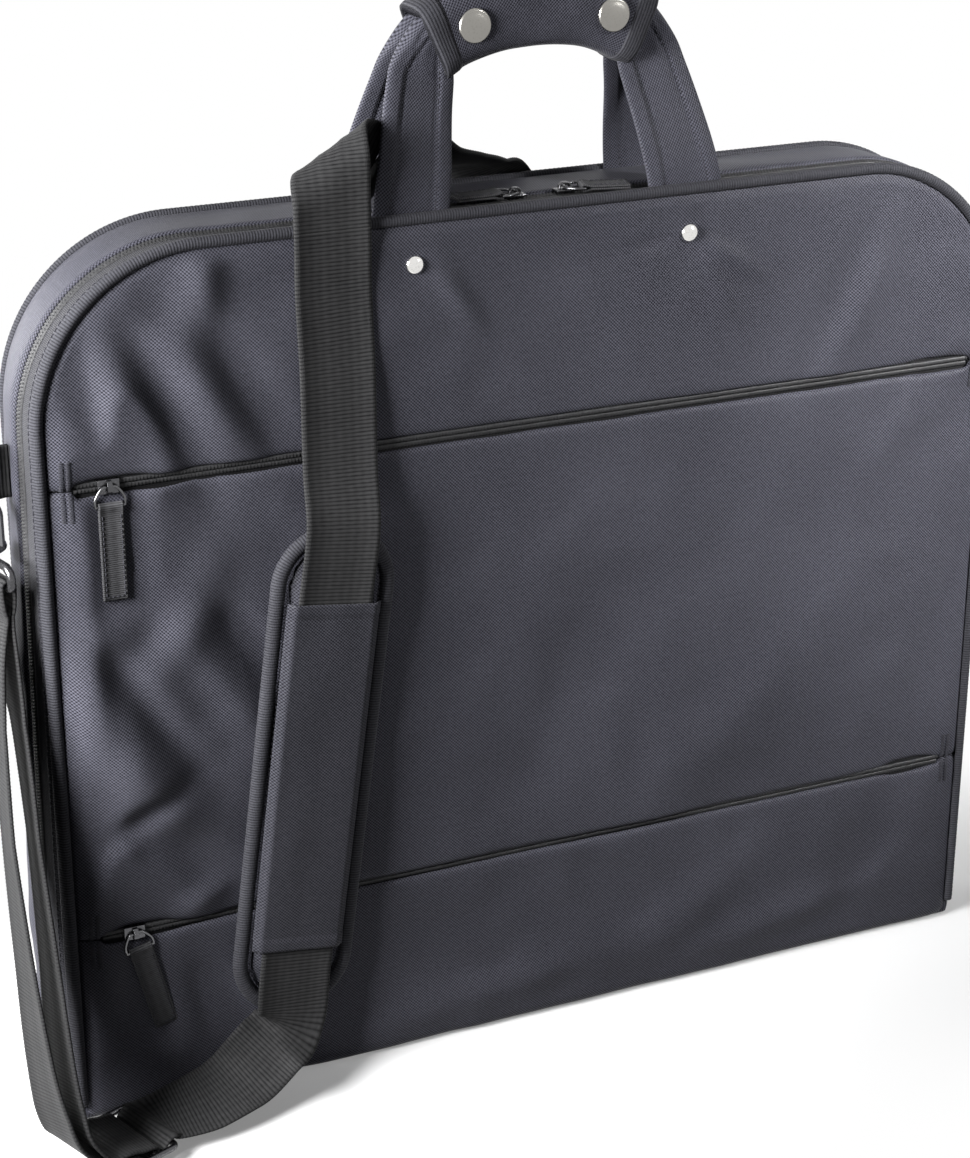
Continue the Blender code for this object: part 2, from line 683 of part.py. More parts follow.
def hook(side):
    """A swivel hook: a bent bow on a disc, with a headed swivel pin below it."""
    name = "hook_" + side
    matrix = hook_matrix(side)
    crown = RING_WIRE + GAP + HOOK_WIRE - HOOK_BEND
    angles = [math.pi * i / 8 for i in range(9)]
    bend = [(-HOOK_BEND * math.cos(a), crown + HOOK_BEND * math.sin(a)) for a in angles]
    disc = -HOOK_REACH - GAP
    route = [(-HOOK_BEND, disc - HOOK_DISC_THICK / 2), *bend, (HOOK_BEND, crown - HOOK_WIRE)]
    bow = tube_mesh(name, [matrix @ Vector((x, 0, z)) for x, z in route], HOOK_WIRE)
    pin_top = disc - HOOK_DISC_THICK
    head = pin_top - 2 * GAP - COLLAR_HEIGHT
    profile = [
        (SWIVEL_HEAD, head - SWIVEL_CAP),
        (SWIVEL_HEAD, head),
        (SWIVEL_RADIUS, head),
        (SWIVEL_RADIUS, pin_top),
        (HOOK_DISC * 0.7, pin_top),
        (HOOK_DISC, pin_top + HOOK_DISC_THICK * 0.4),
        (HOOK_DISC, disc),
    ]
    base = turned_mesh(name, profile, matrix)
    return keep(name, combined(name, base, [bow], "UNION"), GUNMETAL, True)


def hook_gate(side):
    """The sprung gate that closes the bow; it pivots near the disc."""
    name = "hook_gate_" + side
    matrix = hook_matrix(side) @ Matrix.Translation(Vector((HOOK_BEND, 0, 0)))
    crown = RING_WIRE + GAP + HOOK_WIRE - HOOK_BEND
    profile = [
        (HOOK_WIRE * 0.45, -HOOK_REACH + GAP),
        (HOOK_WIRE * 0.85, -HOOK_REACH + HOOK_WIRE),
        (HOOK_WIRE * 0.85, crown - 2 * HOOK_WIRE),
        (HOOK_WIRE * 0.6, crown - HOOK_WIRE - GAP),
    ]
    return keep(name, turned_mesh(name, profile, matrix, 10), GUNMETAL, True)


def eye_matrix(side):
    """The eye's frame: X along the bar that takes the webbing, Z up the swivel, origin on that bar."""
    hanger = hook_matrix(side)
    up = hanger.to_3x3() @ UP
    along = EYE_ALONG[side]
    along = (along - up * along.dot(up)).normalized()
    collar = -HOOK_REACH - 2 * GAP - HOOK_DISC_THICK - COLLAR_HEIGHT / 2
    return frame_matrix(hanger @ Vector((0, 0, collar - EYE_DROP)), along, up.cross(along), up)


def swivel_eye(side):
    """A wire loop for the webbing with a collar that turns on the hook's pin."""
    name = "swivel_eye_" + side
    matrix = eye_matrix(side)
    half = WEB_WIDTH / 2 + EYE_WIRE + 2 * GAP
    corners = [(-half, 0), (half, 0), (half, EYE_DROP * 0.6), (half * 0.75, EYE_DROP)]
    corners += [(-half * 0.75, EYE_DROP), (-half, EYE_DROP * 0.6)]
    loop = tube_mesh(name, [matrix @ Vector((x, 0, z)) for x, z in corners], EYE_WIRE, True)
    low = EYE_DROP - COLLAR_HEIGHT / 2 + GAP / 2
    high = EYE_DROP + COLLAR_HEIGHT / 2 - GAP / 2
    collar = turned_mesh(name, [(COLLAR_RADIUS, low), (COLLAR_RADIUS, high)], matrix)
    hole = [(SWIVEL_RADIUS + GAP, low - COLLAR_HEIGHT), (SWIVEL_RADIUS + GAP, high + COLLAR_HEIGHT)]
    joined = combined(name, loop, [collar], "UNION")
    bored = combined(name, joined, [turned_mesh(name, hole, matrix)], "DIFFERENCE")
    return keep(name, bored, GUNMETAL, True)


# Shoulder strap
def glide_matrix():
    """The three-bar slide's frame: X along the webbing, Y across it, Z out of it."""
    across = GLIDE_ACROSS.normalized()
    along = (GLIDE_ALONG - across * GLIDE_ALONG.dot(across)).normalized()
    return frame_matrix(GLIDE_CENTRE, along, across, along.cross(across))


def pad_matrix():
    """The pad's frame: X across, Y up its length, Z out of its back."""
    up = PAD_UP.normalized()
    out = (PAD_OUT - up * PAD_OUT.dot(up)).normalized()
    return frame_matrix(PAD_CENTRE, up.cross(out), up, out)


def curve_through(route, steps=2):
    """A smooth curve through a route of (point, across) stations."""
    line = []
    last = len(route) - 1
    for i in range(last):
        a, b, c, d = (route[min(max(i + k, 0), last)] for k in (-1, 0, 1, 2))
        for step in range(steps):
            t = step / steps
            point = 0.5 * (
                2 * b[0]
                + (c[0] - a[0]) * t
                + (2 * a[0] - 5 * b[0] + 4 * c[0] - d[0]) * t * t
                + (3 * b[0] - a[0] - 3 * c[0] + d[0]) * t * t * t
            )
            line.append((point, b[1].lerp(c[1], t)))
    line.append(route[-1])
    return line


def ribbon(name, line):
    """A flat webbing solid along a line of (point, across) stations."""
    rings = []
    for i, (point, across) in enumerate(line):
        way = (line[min(i + 1, len(line) - 1)][0] - line[max(i - 1, 0)][0]).normalized()
        across = (across - way * across.dot(way)).normalized()
        out = way.cross(across)
        wide = across * WEB_WIDTH / 2
        thick = out * WEB_THICK / 2
        rings.append([point - wide - thick, point + wide - thick, point + wide + thick, point - wide + thick])
    return loft(name, rings, WEBBING)


def eye_wrap(side, turns):
    """Points round an eye's bar, at angles from the swivel's direction."""
    matrix = eye_matrix(side)
    radius = EYE_WIRE + GAP + WEB_THICK / 2
    along = matrix.to_3x3() @ Vector((1, 0, 0))
    angles = [math.radians(turn) for turn in turns]
    return [(matrix @ Vector((0, radius * math.sin(a), radius * math.cos(a))), along) for a in angles]


def at(frame, x, y, z, across):
    """A station given in a piece's own frame, with its across direction."""
    return (frame @ Vector((x, y, z)), (frame.to_3x3() @ Vector(across)).normalized())


def between(start, end, stations):
    """Stations part of the way between two points, each with an offset and an across direction."""
    return [(start.lerp(end, share) + Vector(offset), Vector(across)) for share, offset, across in stations]


def over_the_top():
    """The stretch that leaves the pad, crosses between the handles and comes down the back."""
    stations = []
    for x, side, y, z, across in TOP_RUN:
        point = Vector((x - HANDLE_OFFSET, side * HALF_DEPTH + y, z + TOP))
        stations.append((point, Vector(across).normalized()))
    return stations


def layer(route, offset):
    """One of two layers along a route: moved to its own side, and bowed further out between the ends."""
    moved = []
    for i, (point, across) in enumerate(route):
        bow = 1 + math.sin(math.pi * i / (len(route) - 1))
        way = (route[min(i + 1, len(route) - 1)][0] - route[max(i - 1, 0)][0]).normalized()
        across = (across - way * across.dot(way)).normalized()
        moved.append((point + way.cross(across) * offset * bow, across))
    return moved


def three_bar_slide():
    """The strap's length adjuster: a wire frame with a middle bar."""
    name = "three_bar_slide"
    matrix = glide_matrix()
    half = WEB_WIDTH / 2 + GLIDE_WIRE + 2 * GAP
    corners = [(-GLIDE_PITCH, -half), (GLIDE_PITCH, -half), (GLIDE_PITCH, half), (-GLIDE_PITCH, half)]
    frame = tube_mesh(name, [matrix @ Vector((x, y, 0)) for x, y in corners], GLIDE_WIRE, True)
    bar = tube_mesh(name, [matrix @ Vector((0, y, 0)) for y in (-half, half)], GLIDE_WIRE)
    return keep(name, combined(name, frame, [bar], "UNION"), GUNMETAL, True)


def side_layer(side_run, turn, ending):
    """One of the two layers from the left hook's eye down to the slide, on the side that turn picks."""
    left = eye_matrix("left")
    radius = EYE_WIRE + GAP + WEB_THICK / 2
    start = eye_wrap("left", [12 * turn, 50 * turn, 90 * turn])
    start.append(at(left, 0, 0.8 * turn * radius, -EYE_DROP, (1, 0, 0)))
    return curve_through(start) + layer(side_run, -turn * (WEB_THICK / 2 + 2 * GAP)) + curve_through(ending)


def right_end():
    """The end that wraps the right hook's eye and is sewn back on itself."""
    right = eye_matrix("right")
    radius = EYE_WIRE + GAP + WEB_THICK / 2
    half = WEB_THICK / 2 + 2 * GAP
    turn = (-1, 0, 0)
    stations = [at(right, 0, -half, z, turn) for z in (-SEWN_TAIL, -2 * EYE_DROP)]
    stations.append(at(right, 0, -0.8 * radius, -EYE_DROP, turn))
    stations += [(point, -across) for point, across in eye_wrap("right", (-90, -45, 0, 45, 90))]
    stations.append(at(right, 0, 0.8 * radius, -EYE_DROP, turn))
    return stations + [at(right, 0, half, z, turn) for z in (-2 * EYE_DROP, -SEWN_TAIL)]


def strap_lines():
    """Lines of the main webbing and of the layer that returns from the left hook to the slide."""
    glide = glide_matrix()
    pad = pad_matrix()
    level = (0, 1, 0)
    inner = GLIDE_WIRE + GAP + WEB_THICK / 2
    outer = inner + WEB_THICK + GAP
    entry = at(glide, -1.7 * GLIDE_PITCH, 0, -(inner + outer) / 2, level)
    top = at(eye_matrix("left"), 0, 0, -2 * EYE_DROP, (1, 0, 0))
    side_run = curve_through([top, *between(top[0], entry[0], SIDE_RUN), entry], 4)
    weave = [(-1, -inner - GAP), (-0.65, -0.15 * inner), (-0.38, 1.3 * inner), (0, outer + GAP)]
    weave += [(-x, z) for x, z in reversed(weave[:-1])]
    main = [at(glide, x * GLIDE_PITCH, 0, z, level) for x, z in weave]
    main.append(at(glide, 1.55 * GLIDE_PITCH, 0, -0.75 * inner, level))
    over = PAD_CROWN + GAP + WEB_THICK / 2
    end = PAD_LENGTH / 2
    on_pad = [at(pad, 0, share * end, over, (1, 0, 0)) for share in (-1.03, -0.8, -0.4, 0, 0.5, 0.75, 1)]
    main += between(main[-1][0], on_pad[0][0], FLOOR_RUN) + on_pad + over_the_top()
    loop = Vector((HALF_WIDTH, HALF_DEPTH, RING_HEIGHT)) + BACK_LOOP
    main += between(main[-1][0], loop, BACK_RUN) + [(loop, BACK_LOOP_ACROSS)] + right_end()
    back = [at(glide, -GLIDE_PITCH, 0, -outer - 3 * GAP, level)]
    back.append(at(glide, -GLIDE_PITCH / 2, 0, -1.4 * inner, level))
    angles = [math.radians(turn) for turn in (0, 45, 90, 130, 170)]
    back += [at(glide, inner * math.sin(a), 0, -inner * math.cos(a), level) for a in angles]
    return side_layer(side_run, -1, main), side_layer(side_run, 1, back)


def stadium(length, width, inset):
    """Points of an outline with round ends."""
    radius = width / 2 - inset
    run = (length - width) / 2
    points = []
    for sign in (1, -1):
        for i in range(9):
            angle = math.pi * i / 8
            points.append((sign * radius * math.cos(angle), sign * (run + radius * math.sin(angle))))
    return points


def pad_ring(inset, height):
    """One ring of the pad's outline in the bag's frame."""
    matrix = pad_matrix()
    return [matrix @ Vector((x, y, height)) for x, y in stadium(PAD_LENGTH, PAD_WIDTH, inset)]


def shoulder_pad():
    """The pad's crowned body, its bound rim and the sleeve that the webbing runs through."""
    seat = 2 * PAD_RIM + GAP
    steps = [(seat, 0), (seat, PAD_RIM), (seat + 0.004, PAD_CROWN * 0.8), (seat + 0.011, PAD_CROWN)]
    body = loft("shoulder_pad", [pad_ring(inset, height) for inset, height in steps], FABRIC_CLOTH, True)
    rim = tube_mesh("pad_rim", pad_ring(PAD_RIM, PAD_RIM), PAD_RIM, True)
    rim = keep("pad_rim", rim, WEBBING, True)
    matrix = pad_matrix()
    half = SLEEVE_WIDTH / 2
    inside = WEB_WIDTH / 2 + 2 * GAP
    roof = PAD_CROWN + WEB_THICK + 2 * GAP
    outline = [(-half, PAD_CROWN + GAP), (-inside, PAD_CROWN + GAP), (-inside, roof), (inside, roof)]
    outline += [(inside, PAD_CROWN + GAP), (half, PAD_CROWN + GAP), (inside + 0.002, roof + SLEEVE_SKIN)]
    outline += [(-inside - 0.002, roof + SLEEVE_SKIN)]
    long = SLEEVE_LENGTH / 2
    sleeve = prism_mesh("pad_sleeve", outline, lambda x, z, y: matrix @ Vector((x, y, z)), -long, long)
    return [body, rim, keep("pad_sleeve", sleeve, FABRIC_CLOTH)]


# Grip
def grip_piece(name, outline, material):
    """A piece of the grip lofted along the handles' top from (depth, height) points."""
    rings = []
    for x, z, turn in grip_path():
        across = Vector((-math.sin(turn), 0, math.cos(turn)))
        rings.append([Vector((x, y, z)) + across * u for y, u in outline])
    return loft(name, rings, material, True)


def round_corner(centre_y, centre_u, first):
    """Quarter-circle points of the grip's outer corner."""
    angles = [first + math.pi / 2 * i / 4 for i in range(5)]
    return [(centre_y + GRIP_ROUND * math.cos(a), centre_u + GRIP_ROUND * math.sin(a)) for a in angles]


def grip_wrap():
    """The padded wrap round the bottom, back and top of both handles."""
    back = CAVITY_DEPTH + GRIP_WALL - GRIP_ROUND
    corner = GRIP_HALF - GRIP_ROUND
    outline = [(-CAVITY_DEPTH, -GRIP_HALF)]
    outline += round_corner(back, -corner, -math.pi / 2)
    outline += round_corner(back, corner, 0.0)
    outline += [(-CAVITY_DEPTH, GRIP_HALF), (-CAVITY_DEPTH, CAVITY_HALF), (CAVITY_DEPTH, CAVITY_HALF)]
    outline += [(CAVITY_DEPTH, -CAVITY_HALF), (-CAVITY_DEPTH, -CAVITY_HALF)]
    return grip_piece("grip_wrap", outline, FABRIC_CLOTH)


def grip_flap():
    """The flap that closes the wrap in front, with two snap caps."""
    back = -CAVITY_DEPTH - GAP
    front = back - GRIP_WALL
    soft = GRIP_WALL * 0.6
    outline = [(back, GRIP_HALF), (front + soft, GRIP_HALF), (front, GRIP_HALF - 2 * soft)]
    outline += [(front, -GRIP_HALF + 2 * soft), (front + soft, -GRIP_HALF), (back, -GRIP_HALF)]
    pieces = [grip_piece("grip_flap", outline, FABRIC_CLOTH)]
    for side, sign in (("left", -1), ("right", 1)):
        place = Vector((sign * SNAP_OFFSET, front - GAP, GRIP_CENTRE))
        matrix = frame_matrix(place, Vector((1, 0, 0)), Vector((0, 0, 1)), Vector((0, -1, 0)))
        profile = [(SNAP_RADIUS, 0), (SNAP_RADIUS, SNAP_HEIGHT * 0.35)]
        profile += [(SNAP_RADIUS * 0.85, SNAP_HEIGHT * 0.7), (SNAP_RADIUS * 0.5, SNAP_HEIGHT)]
        name = "snap_" + side
        pieces.append(keep(name, turned_mesh(name, profile, matrix), STEEL, True))
    return pieces


# Rear half
def tray_ring(inset, height):
    """One ring of the bottom panel's outline, swelling at its ends as the side walls do."""
    depth = HALF_DEPTH + FABRIC - GAP - inset
    points = []
    for sign in (1, -1):
        for i in range(9):
            y = sign * depth * (2 * i / 8 - 1)
            swell = SIDE_SWELL_LOW * max(0.0, 1 - (y / HALF_DEPTH) ** 2)
            points.append(Vector((sign * (HALF_WIDTH + swell + FABRIC - inset), y, height)))
    return points


def bottom_panel():
    """A shallow tray that the bag stands on."""
    wall = SEAM_HEIGHT - GAP
    rings = [tray_ring(FABRIC, 0), tray_ring(0, FABRIC), tray_ring(0, wall), tray_ring(FABRIC, wall)]
    return loft("bottom_panel", [*rings, tray_ring(FABRIC, FABRIC)], FABRIC_CLOTH)


def back_panel():
    """The outer back sheet, with holes for the rear handle's rivets."""
    rings = []
    for depth in (HALF_DEPTH, HALF_DEPTH + FABRIC):
        rings.append([wall_point(s, depth, -PANEL_INSET) for s in edge_stations(SEAM_HEIGHT)])
    mesh = combined("back_panel", loft_mesh("back_panel", rings), rivet_holes(1), "DIFFERENCE")
    return keep("back_panel", mesh, FABRIC_CLOTH)


def piping(name, depth):
    """A cord in a bias strip along one edge of the bag."""
    angles = [2 * math.pi * i / 8 for i in range(8)]
    profile = [(depth + PIPING_RADIUS * math.cos(a), PIPING_RADIUS * math.sin(a)) for a in angles]
    return keep(name, wall_sweep(name, profile, SEAM_HEIGHT + PIPING_RADIUS), FABRIC_CLOTH, True)


def main_zip_half(name, far, sign):
    """Half of the main zip: a tape with its row of coil along the inner edge."""
    near = MAIN_ZIP_Y + sign * GAP / 2
    bead = near + sign * (COIL_WIDTH - GAP) / 2
    half = ZIP_TAPE / 2
    top = half + COIL_HEIGHT - GAP
    depths = [bead + (far - bead) * i / 6 for i in range(7)]
    profile = [(near, -half), (near, top), (bead, top)] + [(d, half) for d in depths]
    profile += [(d, -half) for d in reversed(depths)]
    return wall_sweep(name, profile, SEAM_HEIGHT)


def rear_half():
    """Everything that stays standing when the bag opens."""
    bottom_panel()
    back_panel()
    inner = HALF_DEPTH - GAP
    sheet("back_board", SEAM_HEIGHT, HANDLE_TUCK + 2 * GAP, inner - BOARD, inner, STIFFENER)
    sheet("rear_lining", SEAM_HEIGHT, -ZIP_TAPE / 2, LINING_Y - LINING, LINING_Y, LINING_CLOTH)
    profile = strip_profile(GUSSET_FRONT, LEG_OUTER, GUSSET_INNER, GUSSET_OUTER, 6)
    gusset = wall_sweep("rear_gusset", profile, SEAM_HEIGHT)
    gusset = combined("rear_gusset", gusset, leg_notches(1), "DIFFERENCE")
    keep("rear_gusset", gusset, FABRIC_CLOTH)
    piping("rear_piping", HALF_DEPTH)
    zip_end = MAIN_ZIP_Y + ZIP_TAPE_WIDTH / 2
    keep("main_zip_rear", main_zip_half("main_zip_rear", zip_end, 1), ZIP_CLOTH)
    handle = combined("rear_handle", handle_mesh("rear_handle", 1), rivet_holes(1), "DIFFERENCE")
    keep("rear_handle", handle, WEBBING)
    for side, sign in (("left", -1), ("right", 1)):
        rivet("rear_rivet_" + side, sign * HANDLE_OFFSET, 1)
        ring_tab(side)
        swivel_eye(side)
    grip_wrap()
    loop_place = Vector((0, zip_end + 2 * GAP, TOP + GUSSET_INNER - GAP - LOOP_LENGTH))
    loop = hairpin(3 * TAB_TAPE, TAB_TAPE, LOOP_LENGTH)
    mesh = prism_mesh("hanger_loop", loop, lambda x, z, y: loop_place + Vector((x, y, -z)), 0, LOOP_WIDTH)
    keep("hanger_loop", mesh, WEBBING)
    band_y = LINING_Y - LINING - GAP - TAB_TAPE
    corner = TOP - TOP_CORNER_RADIUS
    share = 1 - ((band_y + TAB_TAPE) / HALF_DEPTH) ** 2
    high = BAND_HEIGHT + BAND_WIDTH
    swell = SIDE_SWELL_HIGH + (SIDE_SWELL_LOW - SIDE_SWELL_HIGH) * (1 - high / corner)
    reach = HALF_WIDTH + swell * share + GUSSET_INNER - GAP
    low = (-reach, band_y, BAND_HEIGHT)
    keep("garment_band", box_mesh("garment_band", low, (reach, band_y + TAB_TAPE, high)), WEBBING)


def front_half():
    """The zipped front, which folds down; gives its pieces."""
    upper = SEAM_HEIGHT + UPPER_ZIP_HEIGHT
    lower = SEAM_HEIGHT + LOWER_ZIP_HEIGHT
    pieces = [
        front_panel("front_top_panel", upper, None),
        front_panel("front_middle_panel", lower, upper),
        front_panel("front_bottom_panel", None, lower),
        pocket_zip("upper_zip", upper),
        pocket_zip("lower_zip", lower),
        pocket_bag("upper_pocket_bag", lower + ZIP_TAPE_WIDTH / 2, upper + ZIP_TAPE_WIDTH / 4),
        pocket_bag("lower_pocket_bag", SEAM_HEIGHT + FABRIC, lower + ZIP_TAPE_WIDTH / 4),
        sheet("front_lining", SEAM_HEIGHT, ZIP_TAPE / 2 + GAP, -LINING_Y, -LINING_Y + LINING, LINING_CLOTH),
        piping("front_piping", -HALF_DEPTH),
    ]
    tape = main_zip_half("main_zip_front", -LEG_OUTER, -1)
    tape = combined("main_zip_front", tape, leg_notches(-1), "DIFFERENCE")
    pieces.append(keep("main_zip_front", tape, ZIP_CLOTH))
    handle = combined("front_handle", handle_mesh("front_handle", -1), rivet_holes(-1), "DIFFERENCE")
    pieces.append(keep("front_handle", handle, WEBBING))
    for side, sign in (("left", -1), ("right", 1)):
        pieces.append(rivet("front_rivet_" + side, sign * HANDLE_OFFSET, -1))
    return pieces + shoulder_pad()


def main():
    """Build the pieces and hang the moving ones on their joints."""
    rear_half()
    fold = joint_empty("front_fold_axis", Vector((0, FRONT_FACE, SEAM_HEIGHT)))
    hang(fold, front_half())
    along = Vector((1, 0, 0))
    front = Vector((0, -1, 0))
    pockets = (("upper", UPPER_ZIP_HEIGHT, 0.0), ("lower", LOWER_ZIP_HEIGHT, LOWER_PULL_TILT))
    for level, height, tilt in pockets:
        x = -POCKET_ZIP_LENGTH / 2 + POCKET_SLIDER_INSET
        place = Vector((x, POCKET_TAPE_Y, SEAM_HEIGHT + height))
        name = level + "_slider"
        slider, pieces, axis = zip_slider(
            name, place, along, front, True, True, -UP, along, POCKET_PULL_LENGTH, tilt
        )
        carrier = joint_empty(name + "_axis", place)
        hang(carrier, [slider], fold)
        hang(joint_empty(level + "_pull_axis", axis), pieces, carrier)
    zip_top = TOP + TOP_SWELL * (1 - (MAIN_ZIP_Y / HALF_DEPTH) ** 2) + ZIP_TAPE / 2
    right_way = Vector((math.cos(RIGHT_PULL_YAW), -math.sin(RIGHT_PULL_YAW), 0))
    for side, sign, way in (("left", -1, -along), ("right", 1, right_way)):
        place = Vector((sign * MAIN_SLIDER_OFFSET, MAIN_ZIP_Y, zip_top))
        name = "main_slider_" + side
        hinge = way.cross(UP)
        slider, pieces, axis = zip_slider(name, place, along, UP, False, False, way, hinge, MAIN_PULL_LENGTH)
        carrier = joint_empty(name + "_axis", place)
        hang(carrier, [slider])
        hang(joint_empty("main_pull_%s_axis" % side, axis), pieces, carrier)
        hang(joint_empty("d_ring_%s_axis" % side, ring_bar(side)), [d_ring(side)])
        matrix = hook_matrix(side)
        swivel = joint_empty("hook_%s_axis" % side, matrix.translation)
        hang(swivel, [hook(side)])
        pivot = matrix @ Vector((HOOK_BEND, 0, -HOOK_REACH + HOOK_WIRE))
        hang(joint_empty("hook_gate_%s_axis" % side, pivot), [hook_gate(side)], swivel)
    flap_axis = Vector((0, -CAVITY_DEPTH - GAP, GRIP_CENTRE + GRIP_HALF))
    hang(joint_empty("grip_flap_axis", flap_axis), grip_flap())
    three_bar_slide()
    main_line, return_line = strap_lines()
    ribbon("strap_main", main_line)
    ribbon("strap_return", return_line)


main()
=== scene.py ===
"""Folding garment bag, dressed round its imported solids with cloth, webbing, zips and metal.

The bag stands on its bottom panel. X runs along the width, -Y is the front and Z is up, in metres.
"""

import logging
from collections.abc import Callable, Sequence
from dataclasses import dataclass
from enum import Enum
from itertools import product
from math import atan, atan2, copysign, cos, exp, hypot, pi, radians, sin, sqrt

import bpy
from mathutils import Matrix, Vector, noise

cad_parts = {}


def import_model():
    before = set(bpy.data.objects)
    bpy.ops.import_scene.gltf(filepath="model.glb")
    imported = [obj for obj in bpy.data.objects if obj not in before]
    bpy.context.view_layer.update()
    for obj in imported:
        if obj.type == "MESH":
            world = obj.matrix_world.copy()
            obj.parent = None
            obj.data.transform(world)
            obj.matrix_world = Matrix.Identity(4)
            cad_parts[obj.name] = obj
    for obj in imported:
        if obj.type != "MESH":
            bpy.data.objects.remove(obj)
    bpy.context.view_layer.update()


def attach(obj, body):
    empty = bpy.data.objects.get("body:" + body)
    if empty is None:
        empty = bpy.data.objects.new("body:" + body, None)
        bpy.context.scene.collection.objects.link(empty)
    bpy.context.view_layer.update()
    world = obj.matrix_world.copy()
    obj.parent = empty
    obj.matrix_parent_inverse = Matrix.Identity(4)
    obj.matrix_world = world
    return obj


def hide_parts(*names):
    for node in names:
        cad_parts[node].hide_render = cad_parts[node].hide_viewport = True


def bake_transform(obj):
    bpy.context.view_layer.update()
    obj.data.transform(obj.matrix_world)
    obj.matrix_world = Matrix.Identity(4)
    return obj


LOG = logging.getLogger("garment_bag")
UP = Vector((0.0, 0.0, 1.0))
RIGHT = Vector((1.0, 0.0, 0.0))
BACK = Vector((0.0, 1.0, 0.0))
GAP = 0.0003  # clearance between parts
MERGE = 1e-6  # points nearer than this are one
LOW_TOOTH = 0.12  # height of the gaps between zip teeth
CLOTH_SHINE = 0.07
MOULDED_SHINE = 0.12
UPPER_ZIP = 0.357
LOWER_ZIP = 0.11
SIDES = (("left", -1.0), ("right", 1.0))
FRONT, REAR = "front_half", "rear_half"  # the two main bodies

Piece = bpy.types.Object
Place = Callable[[float, float], Vector]
Pair = tuple[float, float]
Triple = tuple[float, float, float]
Colour = Triple
Station = tuple[Vector, Vector]


# Shader expressions
class Wire:
    """A shader socket that takes part in Python expressions on values."""

    def __init__(self, graph: "Graph", socket: bpy.types.NodeSocket) -> None:
        """Keep the socket and the graph that it belongs to."""
        self.graph = graph
        self.socket = socket

    def _math(self, operation: str, first: "Wire | float", second: "Wire | float" = 0.0) -> "Wire":
        """Add one Math node."""
        return self.graph.node("ShaderNodeMath", {"operation": operation}, {0: first, 1: second})

    def __add__(self, other: "Wire | float") -> "Wire":
        """Sum."""
        return self._math("ADD", self, other)

    def __sub__(self, other: "Wire | float") -> "Wire":
        """Difference."""
        return self._math("SUBTRACT", self, other)

    def __rsub__(self, other: float) -> "Wire":
        """Difference with a number first."""
        return self._math("SUBTRACT", other, self)

    def __mul__(self, other: "Wire | float") -> "Wire":
        """Product."""
        return self._math("MULTIPLY", self, other)

    __radd__ = __add__
    __rmul__ = __mul__

    def wave(self) -> "Wire":
        """Sine of the value."""
        return self._math("SINE", self)

    def size(self) -> "Wire":
        """Absolute value."""
        return self._math("ABSOLUTE", self)

    def within(self, low: float, high: float) -> "Wire":
        """A smooth step from 0 at low to 1 at high."""
        settings = {"interpolation_type": "SMOOTHSTEP"}
        return self.graph.node("ShaderNodeMapRange", settings, {0: self, 1: low, 2: high})


class Coordinates(Enum):
    """What a pattern follows: the cut of the cloth or the object's own space."""

    CLOTH = "UV"
    SPACE = "Object"


class Graph:
    """The node tree of a material or a world."""

    def __init__(self, owner: bpy.types.Material | bpy.types.World) -> None:
        """Start with an empty tree.

        Args:
            owner: The material or world.
        """
        owner.use_nodes = True
        self.owner = owner
        self.tree = owner.node_tree
        self.tree.nodes.clear()

    def node(
        self, kind: str, settings: dict | None = None, inputs: dict | None = None, output: int | str = 0
    ) -> Wire:
        """Add any node.

        Args:
            kind: The node's type.
            settings: Its own settings.
            inputs: Values or wires by socket name or number.
            output: The socket to hand back.

        Returns:
            The output as a wire.
        """
        item = self.tree.nodes.new(kind)
        for key, value in (settings or {}).items():
            setattr(item, key, value)
        for key, value in (inputs or {}).items():
            if isinstance(value, Wire):
                self.tree.links.new(value.socket, item.inputs[key])
            else:
                item.inputs[key].default_value = value
        return Wire(self, item.outputs[output])

    def coordinates(self, follow: Coordinates) -> Wire:
        """The vector that patterns are laid out on."""
        return self.node("ShaderNodeTexCoord", output=follow.value)

    def split(self, vector: Wire, follow: Coordinates) -> tuple[Wire, Wire]:
        """The two values of a vector that span the cloth: U and V, or X and Z in space.

        Args:
            vector: The vector.
            follow: What it follows.

        Returns:
            Both values.
        """
        parts = self.node("ShaderNodeSeparateXYZ", inputs={0: vector}).socket.node.outputs
        second = 1 if follow is Coordinates.CLOTH else 2
        return Wire(self, parts[0]), Wire(self, parts[second])

    def cloud(self, vector: Wire, scale: float, detail: float = 2.0) -> Wire:
        """Soft noise between 0 and 1."""
        return self.node("ShaderNodeTexNoise", {}, {"Vector": vector, "Scale": scale, "Detail": detail})

    def blend(self, share: Wire, first: Colour, second: Colour) -> Wire:
        """A colour between two colours."""
        settings = {"data_type": "RGBA", "clamp_factor": True}
        return self.node("ShaderNodeMix", settings, {0: share, 6: (*first, 1.0), 7: (*second, 1.0)}, 2)

    def bump(self, height: Wire, strength: float, distance: float) -> Wire:
        """A normal from a height."""
        return self.node("ShaderNodeBump", {}, {"Height": height, "Strength": strength, "Distance": distance})

    def finish(self, inputs: dict) -> bpy.types.Material:
        """Close the graph with a principled surface."""
        self.close(self.node("ShaderNodeBsdfPrincipled", {}, inputs))
        return self.owner

    def close(self, surface: Wire, kind: str = "ShaderNodeOutputMaterial") -> None:
        """Link a shader to the output."""
        end = self.tree.nodes.new(kind)
        self.tree.links.new(surface.socket, end.inputs["Surface"])


